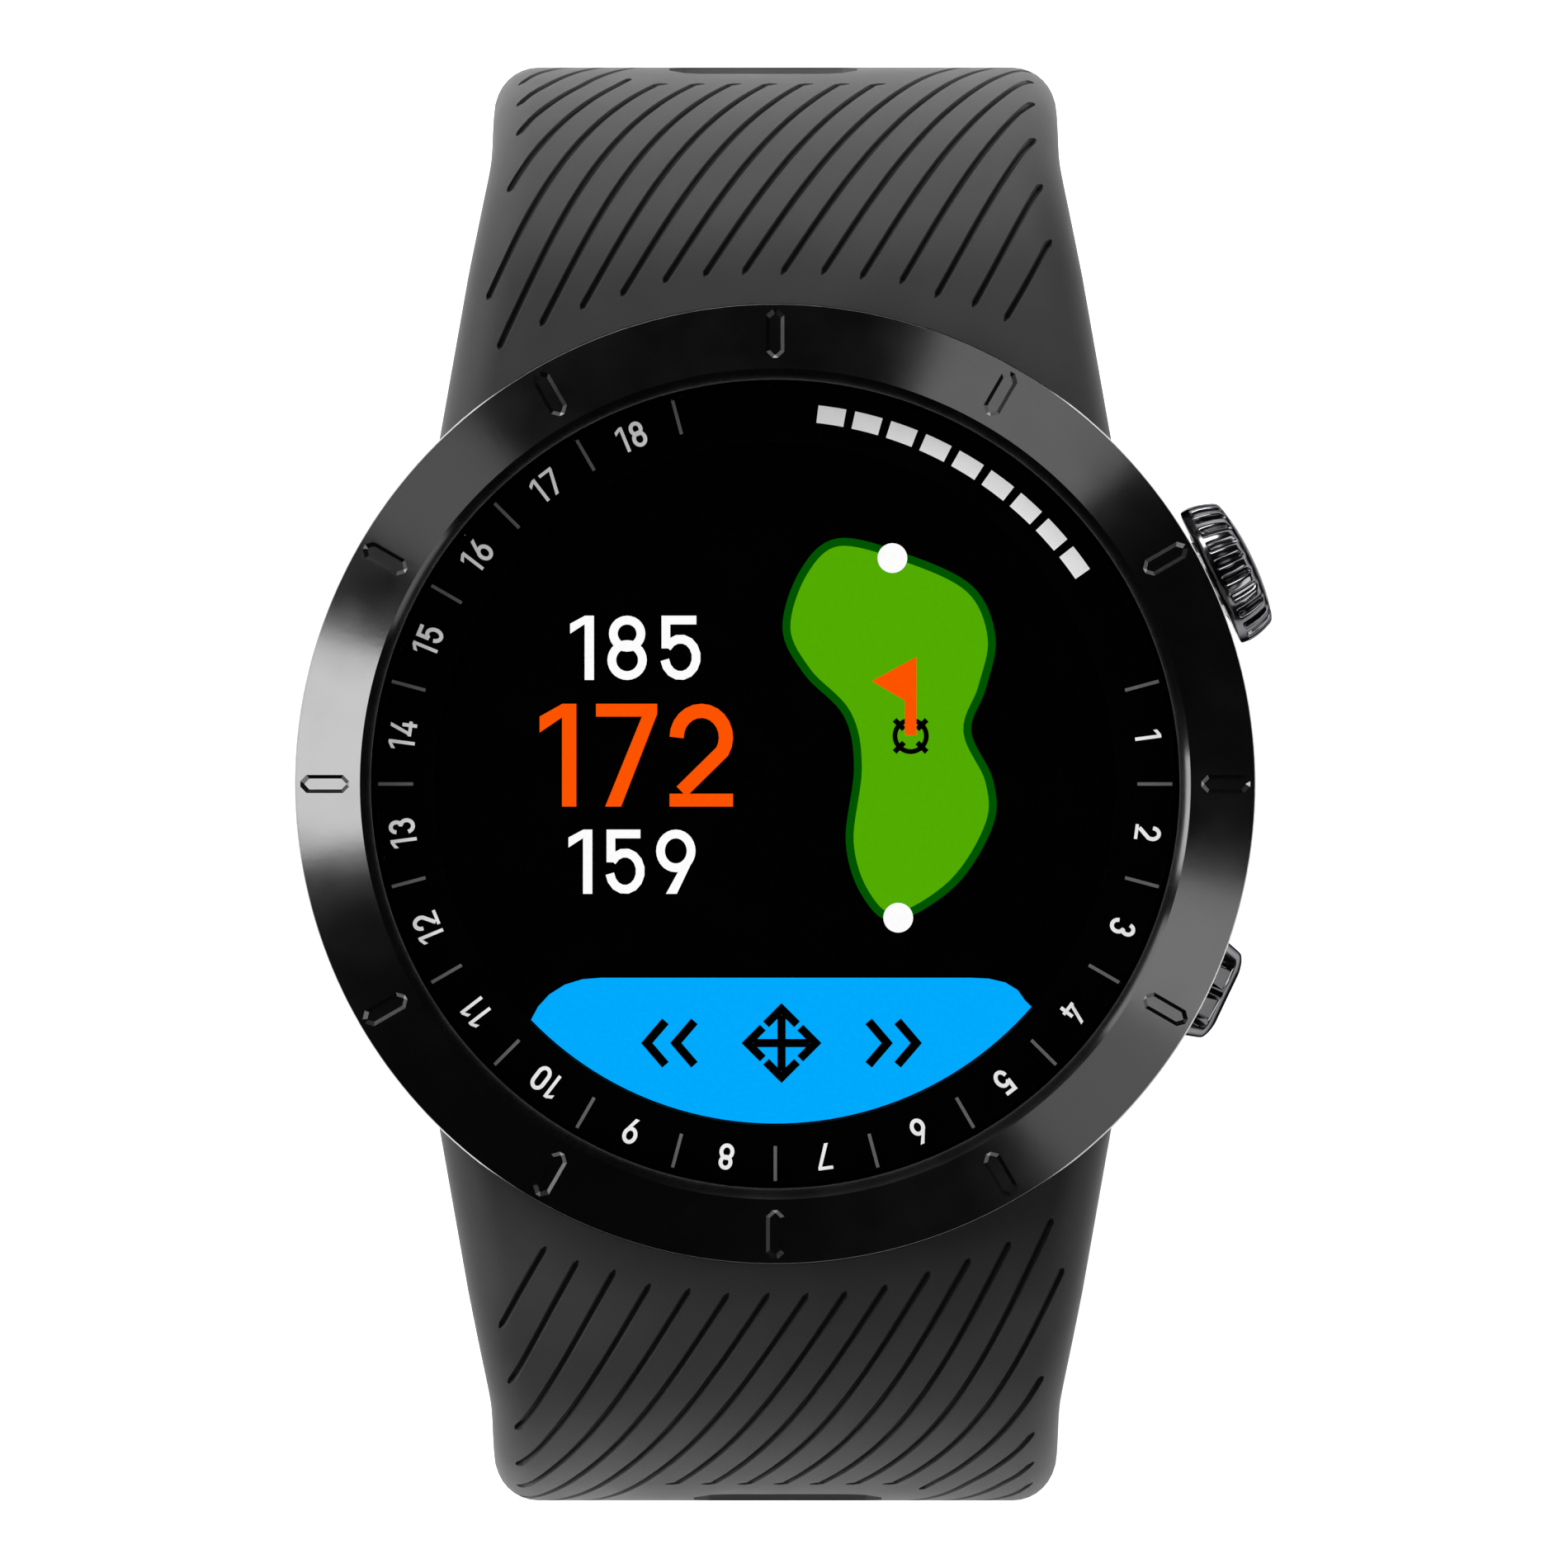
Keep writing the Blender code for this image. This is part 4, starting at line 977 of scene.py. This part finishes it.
def series(terms, value):
    return sum(term * value ** power for power, term in enumerate(terms))


def groove_x(number, s):
    held = max(number, GROOVE_LAST_FITTED)
    bent = min(s, GROOVE_STRAIGHT_S)
    start = series(GROOVE_START, held)
    slope = series(GROOVE_SLOPE, held)
    bend = series(GROOVE_BEND, held)
    x = start + slope * bent + bend * bent ** 2
    return x + GROOVE_EVEN_STEP * (number - held) + GROOVE_FAR_SLOPE * (s - bent)


def groove_lines(path):
    """Each groove as (x, s) points, from its end at the bezel to its far end."""
    lines = []
    for number in GROOVES:
        line = []
        far = GROOVE_HOOK_S if number in GROOVE_HOOKS else GROOVE_FAR
        if number == GROOVE_BESIDE_RECESS:
            far = GROOVE_BESIDE_FAR
        for i in range(141):
            s = -8.0 + (far + 8.0) * i / 140
            x = groove_x(number, s)
            yz, _, half = path.at(s)
            inside = abs(x) < half - GROOVE_MARGIN
            if inside and math.hypot(x, yz.x) > GROOVE_NEAR + 0.02 * abs(x):
                line.append((x, s))
            elif line:
                break
        if number in GROOVE_HOOKS:
            x, s = line[-1]
            line += [(x + 0.3, s + 0.14), (x + 0.6, s + 0.2)]
        if len(line) > 6:
            lines.append(line)
    return lines


def sweep_cutter(bm, spots, half_width, depth, lip):
    """A channel cutter along surface points with normals. It narrows at its two ends."""
    count = len(spots)
    half = [(half_width + lip, 0.6), (half_width + lip, 0.04), (half_width, -lip),
            (0.8 * half_width, -0.8 * depth)]
    profile = [(-a, b) for a, b in half] + [(0.0, -depth)] + half[::-1]
    rings = []
    lengths = [0.0]
    for (a, _), (b, _) in zip(spots, spots[1:]):
        lengths.append(lengths[-1] + (b - a).length)
    total = lengths[-1]
    for i, (spot, normal) in enumerate(spots):
        before = spots[max(i - 1, 0)][0]
        after = spots[min(i + 1, count - 1)][0]
        along = (after - before).normalized()
        across = along.cross(normal).normalized()
        near = min(lengths[i], total - lengths[i])
        share = math.sqrt(max(0.0, 1.0 - max(0.0, 1.0 - near / half_width) ** 2))
        share = 0.35 + 0.65 * share
        rings.append([spot + across * (a * share) + normal * (b if b > 0.0 else b * share)
                      for a, b in profile])
    add_rings(bm, rings)


def groove_cutters(side, arc_radius):
    path = OuterPath(arc_radius)
    bm = bmesh.new()
    for line in groove_lines(path):
        sweep_cutter(bm, [path.spot(x, s) for x, s in line], 0.15, 0.34, 0.06)
    recess = [path.spot(-5.2 + 9.2 * i / 12, 19.0) for i in range(13)]
    sweep_cutter(bm, recess, 1.9, 0.55, 0.12)
    made = new_object("groove_cutters", bm)
    if side < 0:
        made.data.transform(Matrix.Rotation(math.pi, 4, "Z"))
    return made


def strap_half(name, stations, side, arc_radius):
    """A half of the strap, with room for the case, its lugs, the bar and the bar's lever."""
    rings = [strap_section(outer, inner, half, side) for outer, inner, half in stations]
    strap = solid(name, rings, SILICONE)
    end = rod("bezel_clearance", 22.6, -8.0, 10.0, 180, OFF_EDGE)
    channel = x_bar("bar_channel", 1.05, 12.0, (side * BAR_Y, BAR_Z))
    low, high = sorted((side * -9.7, side * -5.2))
    near, far = side * BAR_Y - 0.75, side * BAR_Y + 0.75
    outline = [(low, near), (high, near), (high, far), (low, far)]
    lever_slot = prism("lever_slot", outline, -2.0, BAR_Z)
    cut(strap, end, lug_pocket(side, 1), lug_pocket(side, -1), channel, lever_slot)
    cut(strap, groove_cutters(side, arc_radius))
    return strap


def arc_frame(angle, depth):
    """A place on the upper half, under its outer face: Y along the strap, Z out of it."""
    turn = math.radians(angle)
    out = Vector((0.0, math.cos(turn), math.sin(turn)))
    along = Vector((0.0, math.sin(turn), -math.cos(turn)))
    centre = arc_centre(UPPER_ARC_RADIUS)
    spot = Vector((0.0, centre.x, centre.y)) + out * (UPPER_ARC_RADIUS - depth)
    return basis(along.cross(out), along, out, spot)


def bar_frame():
    """The place of the buckle's bar."""
    back = math.degrees(BAR_FROM_END / UPPER_ARC_RADIUS)
    return arc_frame(-UPPER_ARC_ANGLE + back, 0.5 * THICK_FREE)


def build_upper_strap():
    stations = strap_stations(UPPER_ARC_RADIUS, UPPER_ARC_ANGLE, 40, HALF_WIDTH_BUCKLE,
                              THICK_BUCKLE)
    strap = strap_half("strap_upper_fine", stations, 1, UPPER_ARC_RADIUS)
    place = bar_frame()
    hole = x_bar("buckle_bar_hole", 0.9, 14.0, place=place)
    outline = [(-1.5, -3.0), (1.5, -3.0), (1.5, 6.0), (-1.5, 6.0)]
    slot = prism("tongue_slot", outline, -4.0, 4.0, place=place)
    cut(strap, hole, slot)
    finished(strap, "upper_band", "strap_silicone", "strap_upper")


def build_lower_strap():
    steps = 60
    stations = strap_stations(LOWER_ARC_RADIUS, LOWER_ARC_ANGLE, steps, HALF_WIDTH_FREE, THICK_FREE)
    length = math.radians(LOWER_ARC_ANGLE) * LOWER_ARC_RADIUS
    straight = length - TAIL_ROUND_LENGTH - 0.1
    cutoff = sum(1 for i in range(1, steps + 1) if length * i / steps > straight)
    stations = stations[:len(stations) - cutoff] + tail_stations(length)
    strap = strap_half("strap_lower_fine", stations, -1, LOWER_ARC_RADIUS)
    cut(strap, *tail_holes(length))
    finished(strap, "lower_band", "strap_silicone", "strap_lower")


def tail_holes(length):
    """The adjustment holes, slightly wide across the strap, with eased rims."""
    middle = arc_centre(LOWER_ARC_RADIUS)
    base = Vector((0.0, -middle.x, middle.y))
    cutters = []
    inner = LOWER_ARC_RADIUS - THICK_FREE
    levels = [(inner - 3.0, 0.4), (inner - 0.05, 0.17), (inner + 0.12, 0.0),
              (LOWER_ARC_RADIUS - 0.12, 0.0), (LOWER_ARC_RADIUS + 0.05, 0.17),
              (LOWER_ARC_RADIUS + 2.0, 0.4)]
    for index in range(9):
        angle = -(length - 15.0 - 6.5 * index) / LOWER_ARC_RADIUS
        out = Vector((0.0, -math.cos(angle), math.sin(angle)))
        along = Vector((0.0, -math.sin(angle), -math.cos(angle)))
        rings = []
        for reach, grow in levels:
            centre = base + out * reach
            long, wide = along * (1.15 + grow), Vector((1.7 + grow, 0.0, 0.0))
            rings.append([centre + long * y + wide * x for x, y, _ in circle(1.0, 0.0, 28, 0.5)])
        cutters.append(solid("tail_hole", rings))
    return cutters


def build_keeper(name, body, node, angle, half_length):
    """A loop round the strap with eased rims."""
    place = arc_frame(angle, UPPER_ARC_RADIUS)
    low = UPPER_ARC_RADIUS - THICK_FREE - KEEPER_GAP
    middle = low + 0.5 * KEEPER_ROOM
    rim = [(0.0, 0.15), (0.06, 0.04), (0.3, 0.0), (1.0, 0.0), (1.18, 0.06), (1.28, 0.2), (1.3, 0.4)]
    levels = [(grow, half_length - back) for grow, back in rim]
    levels += [(grow, -y) for grow, y in reversed(levels)]
    rings = []
    for grow, y in levels:
        half_wide = HALF_WIDTH_FREE + KEEPER_GAP + grow
        outline = rounded_box(half_wide, 0.5 * KEEPER_ROOM + grow, 0.8 + grow, 8)
        rings.append([(x, y, middle + z) for x, z in outline])
    keeper = solid(name, rings, SILICONE, closed=True, place=place)
    finished(keeper, body, "strap_silicone", node, sharp=50.0)


# ---- buckle


def build_buckle():
    place = bar_frame()
    corners = [(12.25, -2.1), (12.25, 9.5), (-12.25, 9.5), (-12.25, -2.1)]
    path = softened(corners, 2.4, closed=False, steps=10)
    rings = []
    for i, point in enumerate(path):
        before = Vector(path[max(i - 1, 0)])
        after = Vector(path[min(i + 1, len(path) - 1)])
        way = (after - before).normalized()
        side = Vector((way.y, -way.x))
        here = Vector(point)
        rings.append([(*(here + side * a), b) for a, b in rounded_box(0.95, 1.2, 0.5)])
    buckle = solid("buckle_fine", rings, BUCKLE_METAL, place=place)
    cut(buckle, x_bar("buckle_bar_seat", 0.86, 12.8, place=place))
    finished(buckle, "buckle", "buckle_metal", "buckle_frame")

    profile = arc((0.0, 0.0), (1.5, 1.5), 60.0, 300.0, 16)
    run = [(3.2, -0.2, 1.5), (6.6, 1.05, 2.0), (8.0, 1.3, 0.5), (11.2, 1.3, 0.3), (11.4, 1.9, 0.4),
           (10.8, 2.5, 0.5), (6.4, 2.45, 2.0)]
    profile += softened([profile[-1]] + run + [profile[0]], 0.5, closed=False, steps=5)[1:-1]
    rings = []
    for x, inset in ((-1.0, 0.14), (-0.86, 0.0), (0.86, 0.0), (1.0, 0.14)):
        rings.append([(x, y, z) for y, z in inset_outline(profile, inset)])
    tongue = solid("tongue_fine", rings, BUCKLE_METAL, place=place)
    cut(tongue, x_bar("tongue_eye", 0.88, 3.0, place=place))
    finished(tongue, "tongue", "buckle_metal", "buckle_tongue")


# ---- studio


def softbox(name, azimuth, elevation, size, radiance):
    """A lamp panel facing the watch. azimuth is anticlockwise from 3 o'clock."""
    turn = math.radians(azimuth)
    rise = math.radians(elevation)
    flat = math.cos(rise)
    way = Vector((math.cos(turn) * flat, math.sin(turn) * flat, math.sin(rise)))
    lamp = bpy.data.lights.new(name, "AREA")
    lamp.shape = "RECTANGLE"
    lamp.size, lamp.size_y = size
    lamp.energy = radiance * math.pi * size[0] * size[1]
    holder = bpy.data.objects.new(name, lamp)
    holder.location = way * LAMP_DISTANCE
    holder.rotation_euler = way.to_track_quat("Z", "Y").to_euler()
    bpy.context.scene.collection.objects.link(holder)


def ground(name, profile, look, energy):
    """A staged round of ground, with even light from above that falls on it alone."""
    bm = bmesh.new()
    rings = [circle(radius, height, 96) if radius else [(0.0, 0.0, height)]
             for radius, height in profile]
    add_rings(bm, rings, caps=False)
    made = new_object(name, bm, look)
    made.data.shade_smooth()
    only = bpy.data.collections.new(name + "_only")
    only.objects.link(made)
    lamp = bpy.data.lights.new(name + "_light", "SUN")
    lamp.energy = energy
    lamp.angle = math.radians(40.0)
    holder = bpy.data.objects.new(name + "_light", lamp)
    bpy.context.scene.collection.objects.link(holder)
    holder.light_linking.receiver_collection = only


# Each lamp panel's name, azimuth, elevation, size in m, and radiance. The panels show in the
# bezel's slope, the sides light the strap, and the low ones show in the bezel's lip.
PANELS = (
    ("panel_nine", 175.0, 57.4, (0.42, 0.3), 4.75),
    ("panel_ten", 139.0, 57.4, (0.3, 0.3), 0.62),
    ("panel_one", 56.5, 57.4, (0.44, 0.3), 0.95),
    ("panel_four", -22.0, 57.4, (0.3, 0.3), 1.35),
    ("panel_five", -43.0, 57.4, (0.36, 0.3), 0.66),
    ("side_top", 112.0, 31.0, (1.6, 0.5), 11.0),
    ("side_left", 160.0, 33.0, (1.6, 0.5), 7.5),
    ("side_right", -14.0, 35.0, (1.2, 0.5), 4.2),
    ("side_bottom", 295.0, 42.0, (1.4, 0.4), 1.5),
    ("low_nine", 176.0, 12.7, (0.45, 0.16), 3.4),
    ("low_ten", 152.0, 12.7, (0.5, 0.16), 1.35),
    ("low_four", 330.0, 12.7, (0.4, 0.16), 0.8),
)


def build_studio():
    floor_z = cad_bounds[0][2] / MM - 0.3
    near = 1250.0
    look = surface("floor", (0.95, 0.95, 0.95), 0.9, vary=0.01, patch=60.0, grain=2.0,
                   relief=0.01)
    ground("studio_floor", [(0.0, floor_z), (300.0, floor_z), (near, floor_z)], look, 1.6)
    sweep = [(near, floor_z), (2400.0, floor_z), (3300.0, floor_z + 80.0),
             (4000.0, floor_z + 240.0)]
    ground("studio_backdrop", softened(sweep, 500.0, closed=False, steps=6), look, 3.8)

    world = bpy.data.worlds.new("studio_air")
    world.use_nodes = True
    air = world.node_tree.nodes["Background"].inputs
    air["Color"].default_value = (0.8, 0.8, 0.82, 1.0)
    air["Strength"].default_value = 0.008
    bpy.context.scene.world = world

    for panel in PANELS:
        softbox(*panel)

    camera = bpy.data.cameras.new("photo_camera")
    camera.sensor_width = SENSOR_WIDTH
    camera.lens = SENSOR_WIDTH * 1000.0 / VIEW_WIDTH
    camera.clip_end = 20.0
    holder = bpy.data.objects.new("photo_camera", camera)
    holder.location = (CAMERA_SIDE * MM, 0.0, CAMERA_HEIGHT * MM)
    bpy.context.scene.collection.objects.link(holder)
    bpy.context.scene.camera = holder
    bpy.context.scene.view_settings.view_transform = "Standard"


paint_nodes()
build_case()
build_case_back()
build_bezel()
build_crystal()
build_dial_ring()
build_dial_marks()
build_screen()
build_crown()
build_button()
build_upper_strap()
build_lower_strap()
build_keeper("keeper_fixed_fine", "upper_band", "keeper_fixed", -63.0, 2.4)
build_keeper("keeper_free_fine", "sliding_keeper", "keeper_free", -44.0, 2.8)
build_buckle()
build_studio()
